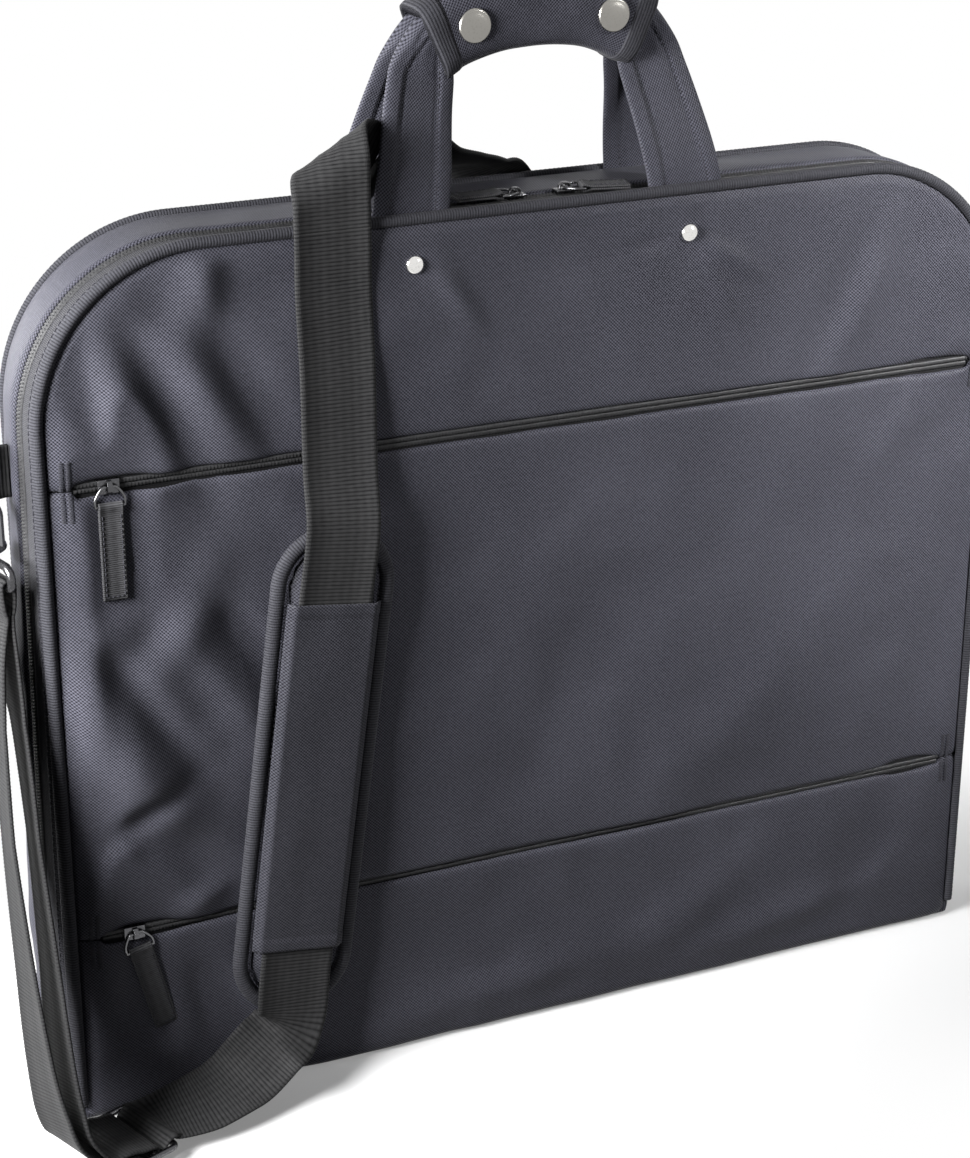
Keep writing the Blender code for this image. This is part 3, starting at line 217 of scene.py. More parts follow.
# Finishes
@dataclass(frozen=True)
class Twill:
    """Two-tone woven polyester with a soft sheen."""

    name: str = "twill_cloth"
    slot: str = "charcoal_twill"
    dark: Colour = (0.003, 0.003, 0.005)
    light: Colour = (0.098, 0.098, 0.1215)
    pitch: float = 0.0018
    roughness: float = 0.48
    sheen: float = 0.02
    relief: float = 0.00022
    follow: Coordinates = Coordinates.CLOTH

    def make(self) -> bpy.types.Material:
        """Build the material.

        Returns:
            The material.
        """
        graph = Graph(bpy.data.materials.new(self.name))
        vector = graph.coordinates(self.follow)
        across, along = graph.split(vector, self.follow)
        turn = 2 * pi / self.pitch
        basket = (across * turn).wave() * (along * turn).wave()
        diagonal = ((across + along) * turn).wave()
        weave = basket * 0.38 + diagonal * 0.24 + 0.5
        drift = graph.cloud(vector, 9.0, 3.0)
        slub = graph.cloud(vector, 420.0)
        shade = weave * 0.95 + (drift - 0.5) * 0.35 + (slub - 0.5) * 0.3 - 0.02
        height = weave + (slub - 0.5) * 0.8
        return graph.finish(
            {
                "Base Color": graph.blend(shade, self.dark, self.light),
                "Roughness": (drift - 0.5) * 0.18 + (self.roughness + 0.05) - weave * 0.1,
                "Normal": graph.bump(height, 0.55, self.relief),
                "Sheen Weight": self.sheen,
                "Sheen Roughness": 0.45,
                "Specular IOR Level": CLOTH_SHINE,
            }
        )


@dataclass(frozen=True)
class Ribbed:
    """Woven tape with ribs across its run: strap webbing, binding or zip tape."""

    name: str
    slot: str
    dark: Colour
    light: Colour
    rib: float
    yarn: float
    roughness: float = 0.62
    relief: float = 0.0003
    follow: Coordinates = Coordinates.CLOTH

    def make(self) -> bpy.types.Material:
        """Build the material; V runs along the tape.

        Returns:
            The material.
        """
        graph = Graph(bpy.data.materials.new(self.name))
        vector = graph.coordinates(self.follow)
        across, along = graph.split(vector, self.follow)
        ribs = (along * (pi / self.rib)).wave().size()
        yarns = (across * (2 * pi / self.yarn)).wave()
        fray = graph.cloud(vector, 700.0)
        drift = graph.cloud(vector, 25.0, 3.0)
        weave = ribs * 0.75 + yarns * 0.06 + 0.1
        shade = weave * 0.8 + (fray - 0.5) * 0.5 + (drift - 0.5) * 0.35
        return graph.finish(
            {
                "Base Color": graph.blend(shade, self.dark, self.light),
                "Roughness": self.roughness + (fray - 0.5) * 0.25,
                "Normal": graph.bump(weave + (fray - 0.5) * 0.5, 0.6, self.relief),
                "Sheen Weight": 0.02,
                "Sheen Roughness": 0.5,
                "Specular IOR Level": CLOTH_SHINE,
            }
        )


@dataclass(frozen=True)
class Metal:
    """Plated metal with faint handling marks."""

    name: str
    slot: str
    colour: Colour
    worn: Colour
    roughness: float

    def make(self) -> bpy.types.Material:
        """Build the material.

        Returns:
            The material.
        """
        graph = Graph(bpy.data.materials.new(self.name))
        vector = graph.coordinates(Coordinates.SPACE)
        marks = graph.cloud(vector, 900.0, 4.0).within(0.52, 0.75)
        haze = graph.cloud(vector, 120.0, 3.0)
        return graph.finish(
            {
                "Base Color": graph.blend(marks * 0.6 + haze * 0.25, self.colour, self.worn),
                "Roughness": self.roughness + marks * 0.08 + (haze - 0.5) * 0.1,
                "Metallic": 1.0,
                "Normal": graph.bump(haze + marks, 0.08, 0.00005),
            }
        )


@dataclass(frozen=True)
class Moulded:
    """Plain moulded or pressed stuff with a fine grain: coil, thread and board."""

    name: str
    slot: str
    dark: Colour
    light: Colour
    roughness: float
    grain: float

    def make(self) -> bpy.types.Material:
        """Build the material.

        Returns:
            The material.
        """
        graph = Graph(bpy.data.materials.new(self.name))
        vector = graph.coordinates(Coordinates.SPACE)
        speck = graph.cloud(vector, self.grain, 3.0)
        return graph.finish(
            {
                "Base Color": graph.blend(speck, self.dark, self.light),
                "Roughness": self.roughness + (speck - 0.5) * 0.2,
                "Normal": graph.bump(speck, 0.2, 0.0001),
                "Specular IOR Level": MOULDED_SHINE,
            }
        )


Finish = Twill | Ribbed | Metal | Moulded

CLOTH = Twill()
PAD_CLOTH = Twill("pad_twill_cloth", light=(0.066, 0.066, 0.079), follow=Coordinates.SPACE)
SATIN = Twill(
    "lining_satin", "black_lining", (0.006, 0.006, 0.007), (0.022, 0.022, 0.025), 0.0007, 0.4, 0.05, 0.0001
)
WEBBING = Ribbed(
    "strap_webbing", "ribbed_webbing", (0.005, 0.005, 0.0055), (0.046, 0.046, 0.047), 0.002, 0.0016
)
BINDING = Ribbed("bound_edge", "ribbed_webbing", (0.007, 0.007, 0.009), (0.066, 0.066, 0.076), 0.0015, 0.0009)
TAPE = Ribbed("zip_tape_cloth", "zip_tape", (0.012, 0.012, 0.014), (0.068, 0.068, 0.074), 0.0009, 0.0011)
# Painted shade: the same zip tape as TAPE, darkened to near black where it lies deep in the pocket slots.
SHADED_POCKET_TAPE = Ribbed(
    "pocket_tape_painted_shade", "zip_tape", (0.003, 0.003, 0.0035), (0.018, 0.018, 0.019), 0.0009, 0.0011
)
TAB_TAPE = Ribbed("pull_tape", "ribbed_webbing", (0.008, 0.008, 0.009), (0.085, 0.085, 0.09), 0.0011, 0.0014)
COIL = Moulded("zip_coil", "zip_tape", (0.014, 0.014, 0.015), (0.062, 0.062, 0.064), 0.38, 600.0)
THREAD = Moulded(
    "sewing_thread", "charcoal_twill", (0.01, 0.01, 0.013), (0.05, 0.05, 0.06), 0.55, 2500.0
)
BOARD = Moulded("stiffener", "stiffener_board", (0.03, 0.027, 0.024), (0.075, 0.068, 0.06), 0.85, 350.0)
STEEL = Metal("polished_nickel", "polished_steel", (0.8, 0.79, 0.77), (0.6, 0.59, 0.58), 0.1)
DARK_STEEL = Metal("dark_nickel", "polished_steel", (0.13, 0.13, 0.135), (0.08, 0.08, 0.085), 0.24)
SATIN_STEEL = Metal("satin_nickel", "polished_steel", (0.3, 0.29, 0.27), (0.24, 0.23, 0.21), 0.28)
RING_STEEL = Metal("ring_nickel", "gunmetal", (0.24, 0.24, 0.25), (0.32, 0.32, 0.33), 0.2)
GUNMETAL = Metal("black_nickel", "gunmetal", (0.085, 0.085, 0.09), (0.16, 0.16, 0.165), 0.26)


# Modelling
def only(obj: Piece) -> None:
    """Select one object and make it active.

    Args:
        obj: The object.
    """
    bpy.ops.object.select_all(action="DESELECT")
    obj.select_set(True)
    bpy.context.view_layer.objects.active = obj


def smooth_step(share: float) -> float:
    """A share from 0 to 1 that starts and ends gently."""
    share = min(max(share, 0.0), 1.0)
    return share * share * (3 - 2 * share)


def bell(share: float, power: int = 2) -> float:
    """1 at 0, falling off softly on both sides; a higher power makes the top flatter."""
    return exp(-(share**power))


def ripple(x: float, y: float, z: float) -> float:
    """Smooth noise from -1 to 1, the same in each run."""
    return noise.noise(Vector((x, y, z)))


def placed(name: str, data: bpy.types.ID) -> Piece:
    """A new object in the scene.

    Args:
        name: Its name.
        data: Its mesh, curve, lamp or camera.

    Returns:
        The object.
    """
    obj = bpy.data.objects.new(name, data)
    bpy.context.scene.collection.objects.link(obj)
    return obj


def edit(obj: Piece, *steps: Callable[[], object]) -> Piece:
    """Run mesh operators one by one, each on the whole mesh.

    Args:
        obj: The mesh object.
        *steps: The operators.

    Returns:
        The same object.
    """
    only(obj)
    bpy.ops.object.mode_set(mode="EDIT")
    for step in steps:
        bpy.ops.mesh.select_all(action="SELECT")
        step()
    bpy.ops.object.mode_set(mode="OBJECT")
    return obj


def merge() -> None:
    """Merge doubles of the selected mesh."""
    bpy.ops.mesh.remove_doubles(threshold=MERGE)


def outwards() -> None:
    """Point the selected faces outwards."""
    bpy.ops.mesh.normals_make_consistent(inside=False)


def modify(obj: Piece, kind: str, **settings: object) -> Piece:
    """Apply one modifier.

    Args:
        obj: The object.
        kind: The modifier's type.
        **settings: Its settings.

    Returns:
        The same object.
    """
    only(obj)
    change = obj.modifiers.new(kind.title(), kind)
    for key, value in settings.items():
        setattr(change, key, value)
    bpy.ops.object.modifier_apply(modifier=change.name)
    return obj


def tidy_mesh(obj: Piece, fill: bool = False) -> Piece:
    """Merge doubles, close open ends if asked, and point the faces outwards."""
    ends = [lambda: bpy.ops.mesh.fill_holes(sides=0)] if fill else []
    return edit(obj, merge, *ends, outwards)


def shade(obj: Piece, angle: float | None = None) -> None:
    """Shade smooth, or smooth up to an angle in degrees.

    Args:
        obj: The object.
        angle: Sharper edges stay sharp; None rounds all.
    """
    only(obj)
    if angle is None:
        bpy.ops.object.shade_smooth()
    else:
        bpy.ops.object.shade_smooth_by_angle(angle=radians(angle))


def surface(
    name: str, columns: int, rows: int, place: Place, cut: Pair, chart: Callable | None = None
) -> Piece:
    """A grid whose points are laid by place(u, v), with a UV map in metres.

    Args:
        name: The piece's name.
        columns: Faces along u.
        rows: Faces along v.
        place: Where a point with shares u and v goes.
        cut: The cloth's size along u and v.
        chart: Where the point lies on the flat cloth, if it isn't in even steps.

    Returns:
        The new object.
    """
    bpy.ops.object.select_all(action="DESELECT")
    bpy.ops.mesh.primitive_grid_add(x_subdivisions=columns, y_subdivisions=rows, size=2.0)
    obj = bpy.context.active_object
    obj.name = obj.data.name = name
    for vertex in obj.data.vertices:
        vertex.co = place((vertex.co.x + 1) / 2, (vertex.co.y + 1) / 2)
    layer = obj.data.uv_layers.active.data
    for corner in layer:
        u, v = corner.uv
        corner.uv = chart(u, v) if chart else (u * cut[0], v * cut[1])
    shade(obj)
    return obj


def tube(
    name: str, columns: int, rows: int, place: Place, cut: Pair, fill: bool, chart: Callable | None = None
) -> Piece:
    """A surface that closes on itself along u, with ends filled if asked."""
    return tidy_mesh(surface(name, columns, rows, place, cut, chart), fill)


def thicken(obj: Piece, thick: float) -> Piece:
    """Give a surface thickness on its inner side."""
    return modify(obj, "SOLIDIFY", thickness=thick, offset=-1.0)


def sheet(name: str, columns: int, rows: int, place: Place, cut: Pair, thick: float) -> Piece:
    """A surface with thickness on its inner side."""
    return thicken(surface(name, columns, rows, place, cut), thick)


def across_uv(obj: Piece, second: int = 2) -> Piece:
    """Lay the cloth's UV map straight on, by X and by Z or Y.

    Args:
        obj: The object.
        second: The axis for V.

    Returns:
        The same object.
    """
    layer = obj.data.uv_layers.active.data
    for loop in obj.data.loops:
        point = obj.data.vertices[loop.vertex_index].co
        layer[loop.index].uv = (point.x, point[second])
    return obj


def tidy_normals(obj: Piece, sign: float) -> Piece:
    """Turn an open face's normals to the front (-1) or the back (+1)."""
    total = sum(polygon.normal.y * polygon.area for polygon in obj.data.polygons)
    return edit(obj, bpy.ops.mesh.flip_normals) if total * sign < 0 else obj


def facing(name: str, columns: int, rows: int, place: Place, sign: float, thick: float) -> Piece:
    """A panel with its cloth laid straight on, facing the front (-1) or the back (+1)."""
    obj = surface(name, columns, rows, place, (1.0, 1.0))
    return thicken(tidy_normals(across_uv(obj), sign), thick)


def teeth_row(
    name: str, profile: Sequence[Pair], rows: int, shift: int, cut: Pair, point: Callable
) -> Piece:
    """A row of zip teeth, with every other step low.

    Args:
        name: The piece's name.
        profile: A tooth's (share across, height) steps.
        rows: Steps along the zip.
        shift: 1 to start with a gap.
        cut: As for a surface.
        point: Where a share across, a height and a share along go.

    Returns:
        The new piece.
    """
    last = len(profile) - 1

    def place(u: float, v: float) -> Vector:
        """A point of the row."""
        share, rise = profile[round(u * last)]
        ridge = 1.0 if (round(v * rows) + shift) % 2 else LOW_TOOTH
        return point(share, rise * ridge, v)

    return surface(name, last, rows, place, cut)


def mirror(points: Sequence[Pair]) -> list[Pair]:
    """The points on the other side, from the last to the first."""
    return [(-x, y) for x, y in reversed(points)]


def wire(name: str, points: Sequence[Vector], radius: float, cyclic: bool = False) -> Piece:
    """A round wire along points, made by a bevelled curve and converted to a mesh.

    Args:
        name: The piece's name.
        points: Its middle line.
        radius: Its radius.
        cyclic: Whether it closes on itself.

    Returns:
        The new piece.
    """
    curve = bpy.data.curves.new(name, "CURVE")
    curve.dimensions = "3D"
    curve.bevel_depth = radius
    curve.bevel_resolution = 4
    curve.use_fill_caps = not cyclic
    line = curve.splines.new("POLY")
    line.points.add(len(points) - 1)
    for target, point in zip(line.points, points):
        target.co = (*point, 1.0)
    line.use_cyclic_u = cyclic
    only(placed(name, curve))
    bpy.ops.object.convert(target="MESH")
    obj = bpy.context.active_object
    tidy_mesh(obj)
    shade(obj, 45)
    return obj


def turned(name: str, profile: Sequence[Pair], matrix: Matrix, sides: int) -> Piece:
    """A disc drawn up step by step through (radius, height) pairs, then set in place.

    Args:
        name: The piece's name.
        profile: The pairs.
        matrix: Its place.
        sides: Faces round it.

    Returns:
        The new piece.
    """
    bpy.ops.object.select_all(action="DESELECT")
    radius, height = profile[0]
    bpy.ops.mesh.primitive_circle_add(vertices=sides, radius=radius, fill_type="NGON", location=(0, 0, 0))
    obj = bpy.context.active_object
    obj.name = obj.data.name = name
    bpy.ops.object.mode_set(mode="EDIT")
    bpy.ops.mesh.select_all(action="SELECT")
    bpy.ops.transform.translate(value=(0, 0, height))
    for next_radius, next_height in profile[1:]:
        bpy.ops.mesh.extrude_region_move(TRANSFORM_OT_translate={"value": (0, 0, next_height - height)})
        share = next_radius / radius
        bpy.ops.transform.resize(value=(share, share, 1), center_override=(0, 0, next_height))
        radius, height = next_radius, next_height
    bpy.ops.mesh.select_all(action="SELECT")
    outwards()
    bpy.ops.object.mode_set(mode="OBJECT")
    obj.data.transform(matrix)
    shade(obj, 35)
    return obj


def join(name: str, pieces: Sequence[Piece]) -> Piece:
    """Join pieces into one object.

    Args:
        name: The piece's name.
        pieces: What to join.

    Returns:
        The joined piece.
    """
    only(pieces[0])
    for piece in pieces[1:]:
        piece.select_set(True)
    bpy.ops.object.join()
    obj = bpy.context.active_object
    obj.name = obj.data.name = name
    return obj


def copied(name: str, node: str, bevel: float) -> Piece:
    """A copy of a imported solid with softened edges.

    Args:
        name: The piece's name.
        node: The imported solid.
        bevel: Width of the softened edges.

    Returns:
        The new piece.
    """
    source = bpy.data.objects[node]
    obj = source.copy()
    obj.data = source.data.copy()
    obj.parent = None
    obj.matrix_world = Matrix.Identity(4)
    for key in list(obj.keys()):
        del obj[key]
    obj.name = obj.data.name = name
    bpy.context.scene.collection.objects.link(obj)
    edit(obj, merge, lambda: bpy.ops.mesh.dissolve_limited(angle_limit=radians(2)))
    modify(obj, "BEVEL", width=bevel, segments=2, limit_method="ANGLE", angle_limit=radians(35))
    shade(obj, 50)
    return obj


def keep(obj: Piece, finish: Finish, body: str | None, *nodes: str) -> Piece:
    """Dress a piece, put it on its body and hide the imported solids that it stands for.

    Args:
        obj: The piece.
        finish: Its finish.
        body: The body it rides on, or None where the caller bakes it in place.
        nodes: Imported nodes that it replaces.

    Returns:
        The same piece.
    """
    obj.data.materials.clear()
    obj.data.materials.append(bpy.data.materials.get(finish.name) or finish.make())
    for polygon in obj.data.polygons:
        polygon.material_index = 0
    if nodes:
        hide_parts(*nodes)
    if body is not None:
        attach(obj, body)
    LOG.info("%s: %d faces", obj.name, len(obj.data.polygons))
    return obj


def columns_matrix(origin: Vector, across: Vector, along: Vector, out: Vector) -> Matrix:
    """A matrix whose columns are three axes and an origin."""
    return Matrix.Translation(origin) @ Matrix((across, along, out)).transposed().to_4x4()


class Line:
    """A smooth run of (point, across) stations that can be read at any distance."""

    def __init__(self, stations: Sequence[Station]) -> None:
        """Measure the run.

        Args:
            stations: The stations in order.
        """
        self.stations = list(stations)
        self.marks = [0.0]
        for (first, _), (second, _) in zip(self.stations, self.stations[1:]):
            self.marks.append(self.marks[-1] + (second - first).length)
        self.length = self.marks[-1]
        self.last = 0

    def frame(self, distance: float) -> tuple[Vector, Vector, Vector, Vector]:
        """The point, direction, across and outward axes at a distance along the run.

        Args:
            distance: Distance from the start.

        Returns:
            The point and the three axes.
        """
        distance = min(max(distance, 0.0), self.length)
        i = min(self.last, len(self.marks) - 2)
        while i > 0 and self.marks[i] > distance:
            i -= 1
        while i < len(self.marks) - 2 and self.marks[i + 1] < distance:
            i += 1
        self.last = i
        share = (distance - self.marks[i]) / max(self.marks[i + 1] - self.marks[i], 1e-9)
        point = self.stations[i][0].lerp(self.stations[i + 1][0], share)
        before = self.stations[max(i - 1, 0)][0]
        after = self.stations[min(i + 2, len(self.stations) - 1)][0]
        way_in = (self.stations[i + 1][0] - before).normalized()
        way_out = (after - self.stations[i][0]).normalized()
        way = way_in.lerp(way_out, share).normalized()
        across = self.stations[i][1].lerp(self.stations[i + 1][1], share)
        across = (across - way * across.dot(way)).normalized()
        return point, way, across, way.cross(across)

    def points(self, step: float) -> list[Vector]:
        """Points of the run at even steps."""
        count = max(2, round(self.length / step))
        return [self.frame(self.length * i / count)[0] for i in range(count + 1)]


def curve_through(route: Sequence[Station], steps: int) -> list[Station]:
    """A smooth curve through a route of (point, across) stations.

    Args:
        route: The stations to pass.
        steps: Steps between two of them.

    Returns:
        The stations of the curve.
    """
    line: list[Station] = []
    last = len(route) - 1
    for i in range(last):
        a, b, c, d = (route[min(max(i + k, 0), last)] for k in (-1, 0, 1, 2))
        for step in range(steps):
            t = step / steps
            point = 0.5 * (
                2 * b[0]
                + (c[0] - a[0]) * t
                + (2 * a[0] - 5 * b[0] + 4 * c[0] - d[0]) * t * t
                + (3 * b[0] - a[0] - 3 * c[0] + d[0]) * t * t * t
            )
            line.append((point, b[1].lerp(c[1], t)))
    line.append(route[-1])
    return line


# Form of the bag
@dataclass(frozen=True)
class BagForm:
    """The bag's outline, its swelling side wall and its two broad faces."""

    half_width: float = 0.27
    half_depth: float = 0.03
    seam: float = 0.01
    top: float = 0.47
    corner: float = 0.085
    swell_low: float = 0.014
    swell_high: float = 0.006
    swell_top: float = 0.001
    main_zip_y: float = -0.0125

    @property
    def side(self) -> float:
        """Length of one straight side edge."""
        return self.top - self.corner - self.seam

    @property
    def length(self) -> float:
        """Length of the whole edge from the lower left over the top to the lower right."""
        return 2 * self.side + pi * self.corner + 2 * (self.half_width - self.corner)

    def edge(self, along: float) -> tuple[Vector, Vector, float]:
        """The edge's point, outward direction and swell at a distance from the lower left.

        Args:
            along: The distance.

        Returns:
            Point, direction and swell.
        """
        mirrored = along > self.length / 2
        run = self.length - along if mirrored else along
        arc = pi / 2 * self.corner
        shoulder = self.top - self.corner
        if run < self.side:
            height = self.seam + run
            point, out = Vector((-self.half_width, 0, height)), Vector((-1, 0, 0))
            swell = self.swell_high + (self.swell_low - self.swell_high) * (1 - height / shoulder)
        elif run < self.side + arc:
            share = (run - self.side) / arc
            angle = pi - share * pi / 2
            out = Vector((cos(angle), 0, sin(angle)))
            point = Vector((self.corner - self.half_width, 0, shoulder)) + out * self.corner
            swell = self.swell_high + (self.swell_top - self.swell_high) * share
        else:
            point = Vector((self.corner - self.half_width + run - self.side - arc, 0, self.top))
            out, swell = UP.copy(), self.swell_top
        if mirrored:
            point.x, out.x = -point.x, -out.x
        return point, out, swell

    def wall(self, along: float, depth: float, offset: float) -> Vector:
        """A point of the side wall at one depth, offset outwards.

        Args:
            along: Distance along the edge.
            depth: Y of the point.
            offset: Distance out of the wall.

        Returns:
            The point.
        """
        point, out, swell = self.edge(along)
        share = max(0.0, 1 - (depth / self.half_depth) ** 2)
        return point + out * (offset + swell * share) + BACK * depth

    def roof(self, x: float, inset: float) -> float:
        """Height of the outline above x, inset inwards.

        Args:
            x: X of the point.
            inset: Distance in from the outline.

        Returns:
            The height.
        """
        past = abs(x) - (self.half_width - self.corner)
        if past <= 0:
            return self.top - inset
        radius = self.corner - inset
        return self.top - self.corner + sqrt(max(radius * radius - past * past, 0.0))

    def inside(self, x: float, z: float) -> float:
        """Distance from a point of a broad face to its side and top edges.

        Args:
            x: X of the point.
            z: Z of the point.

        Returns:
            The distance.
        """
        past = abs(x) - (self.half_width - self.corner)
        above = z - (self.top - self.corner)
        if past > 0 and above > 0:
            return self.corner - hypot(past, above)
        return min(self.half_width - abs(x), self.top - z)


FORM = BagForm()


def web(name: str, line: Line, width: float, thick: float, rib: float) -> Piece:
    """Webbing along a line, with its ribs and its thicker selvedges as shapes.

    Args:
        name: The piece's name.
        line: Its middle line.
        width: Its width.
        thick: Its thickness.
        rib: Pitch of the ribs.

    Returns:
        The new piece.
    """
    rows = max(4, 2 * round(line.length / rib))
    section = [(-1.0, 0.35), (-0.97, 1.0), (-0.86, 1.0), (-0.84, 0.82), (-0.3, 0.84), (0.3, 0.84)]
    section += [(0.84, 0.82), (0.86, 1.0), (0.97, 1.0), (1.0, 0.35)]
    loop = section + [(a, -b) for a, b in reversed(section)]

    def place(u: float, v: float) -> Vector:
        """A point of the section at one step of the run."""
        point, _, across, out = line.frame(v * line.length)
        a, b = loop[round(u * len(loop)) % len(loop)]
        ridge = 1.0 if round(v * rows) % 2 else 0.8
        return point + across * (a * width / 2) + out * (b * ridge * thick / 2)

    return tube(name, len(loop), rows, place, (2 * width, line.length), True)


def hairpin(hole: float, tape: float, length: float) -> list[Pair]:
    """The middle line of a tape folded round a bar at the origin, with both layers running down.

    Args:
        hole: Radius of the bar's room.
        tape: The tape's thickness.
        length: How far it runs down.

    Returns:
        Points across and along.
    """
    middle = hole + tape / 2
    slit = tape / 2 + GAP / 2
    drop = 2 * (hole + tape)
    turns = [pi * i / 12 for i in range(13)]
    line = [(-slit, -length + (length - drop) * i / 6) for i in range(7)]
    line += [(-middle * cos(a), middle * sin(a)) for a in turns]
    return line + [(slit, -drop - (length - drop) * i / 6) for i in range(7)]


def stitches(name: str, runs: Sequence[Sequence[Station]], radius: float) -> Piece:
    """Threads along runs of (point, out) pairs: first to second, third to fourth, and so on.

    Args:
        name: The piece's name.
        runs: The thread ends.
        radius: Radius of the thread.

    Returns:
        The new piece.
    """
    points: list[Vector] = []
    faces: list[list[int]] = []
    sides = 5
    for run in runs:
        for (start, out), (end, _) in zip(run[::2], run[1::2]):
            way = (end - start).normalized()
            across = way.cross(out).normalized()
            base = len(points)
            for share, girth in ((0.0, 0.45), (0.2, 1.0), (0.8, 1.0), (1.0, 0.45)):
                middle = start.lerp(end, share) + out * (radius * (0.55 if girth == 1.0 else 0.0))
                for k in range(sides):
                    angle = 2 * pi * k / sides
                    points.append(middle + (across * cos(angle) + out * sin(angle)) * radius * girth)
            for ring in range(3):
                low = base + ring * sides
                high = low + sides
                for k in range(sides):
                    after = (k + 1) % sides
                    faces.append([low + k, low + after, high + after, high + k])
            faces.append([base + k for k in reversed(range(sides))])
            faces.append([base + 3 * sides + k for k in range(sides)])
    mesh = bpy.data.meshes.new(name)
    mesh.from_pydata(points, [], faces)
    obj = placed(name, mesh)
    tidy_mesh(obj)
    shade(obj)
    return obj


def row_of(place: Callable[[float], Station], length: float, pitch: float) -> list[Station]:
    """Thread ends along a run: place(distance) gives a point and its outward direction.

    Args:
        place: The function.
        length: Length of the run.
        pitch: Length of a stitch.

    Returns:
        The thread ends.
    """
    count = max(1, round(length / pitch))
    step = length / count
    ends = []
    for i in range(count):
        ends += [place((i + 0.14) * step), place((i + 0.86) * step)]
    return ends


# Shoulder strap
@dataclass(frozen=True)
class StrapEnd:
    """The D-ring, hook and webbing eye on one side of the bag."""

    side: str
    sign: float
    ring_turn: float
    lean: Triple
    eye_along: Triple
    ring_wire: float = 0.002
    ring_bar: float = 0.032
    ring_depth: float = 0.024
    ring_height: float = 0.361
    ring_setback: float = 0.029
    standoff: float = 0.0195
    hook_wire: float = 0.0024
    hook_bend: float = 0.0074
    hook_reach: float = 0.017
    disc: float = 0.0098
    disc_thick: float = 0.0045
    pin: float = 0.0022
    pin_head: float = 0.0036
    pin_cap: float = 0.0012
    collar: float = 0.0055
    collar_height: float = 0.0045
    eye_wire: float = 0.0022
    eye_drop: float = 0.0105
    web: float = 0.002
    web_width: float = 0.04

    @property
    def way(self) -> Vector:
        """The direction that the D-ring points from its bar."""
        return Vector((cos(self.ring_turn), sin(self.ring_turn), 0))

    @property
    def bar(self) -> Vector:
        """The middle of the D-ring's bar."""
        x = self.sign * (FORM.half_width + self.standoff)
        return Vector((x, -FORM.half_depth + self.ring_setback, self.ring_height))

    def hook_frame(self) -> Matrix:
        """The hook's frame: Z from the eye up to the ring's wire, Y along that wire.

        Returns:
            The frame.
        """
        contact = self.bar + self.way * (self.ring_depth - self.ring_bar / 2) - UP * (self.ring_bar / 2)
        lean = Vector(self.lean)
        lean = (lean - self.way * lean.dot(self.way)).normalized()
        return columns_matrix(contact, self.way.cross(-lean), self.way, -lean)

    def eye_frame(self) -> Matrix:
        """The eye's frame: X along the bar that takes the webbing, Z up the swivel.

        Returns:
            The frame.
        """
        hanger = self.hook_frame()
        up = hanger.to_3x3() @ UP
        along = Vector(self.eye_along)
        along = (along - up * along.dot(up)).normalized()
        middle = -self.hook_reach - 2 * GAP - self.disc_thick - self.collar_height / 2
        return columns_matrix(hanger @ Vector((0, 0, middle - self.eye_drop)), along, up.cross(along), up)

    def wrap(self, turns: Sequence[float]) -> list[Station]:
        """Stations of webbing round the eye's bar at angles in degrees from the swivel's direction.

        Args:
            turns: The angles.

        Returns:
            The stations.
        """
        matrix = self.eye_frame()
        radius = self.eye_wire + GAP + self.web / 2
        along = matrix.to_3x3() @ RIGHT
        angles = [radians(turn) for turn in turns]
        places = [Vector((0, radius * sin(a), radius * cos(a))) for a in angles]
        return [(matrix @ place, along.copy()) for place in places]


LEFT_END = StrapEnd("left", -1.0, radians(230), (0.0, 0.0, -1.0), (0.25, -0.97, 0.0))
RIGHT_END = StrapEnd("right", 1.0, radians(20), (0.0, 0.6, -0.8), (0.0, 0.8, 0.6))


def station(frame: Matrix, x: float, y: float, z: float, across: Sequence[float]) -> Station:
    """A station given in a piece's own frame, with its across direction."""
    return frame @ Vector((x, y, z)), (frame.to_3x3() @ Vector(across)).normalized()


def between(start: Vector, end: Vector, lay: Sequence[tuple]) -> list[Station]:
    """Stations part of the way between two points, each with an offset and an across direction."""
    return [(start.lerp(end, share) + Vector(offset), Vector(across)) for share, offset, across in lay]


@dataclass(frozen=True)
class PadPlace:
    """Where the shoulder pad lies against the front."""

    x: float = -0.1415
    y: float = -0.0367
    z: float = 0.185
    lean: float = 0.133
    length: float = 0.276
    width: float = 0.066
    crown: float = 0.0085

    def frame(self) -> Matrix:
        """The pad's frame: X across, Y up its length, Z out of its back.

        Returns:
            The frame.
        """
        up = Vector((self.lean, 0, sqrt(1 - self.lean**2)))
        out = Vector((0, -1, 0))
        return columns_matrix(Vector((self.x, self.y, self.z)), up.cross(out), up, out)


PAD = PadPlace()


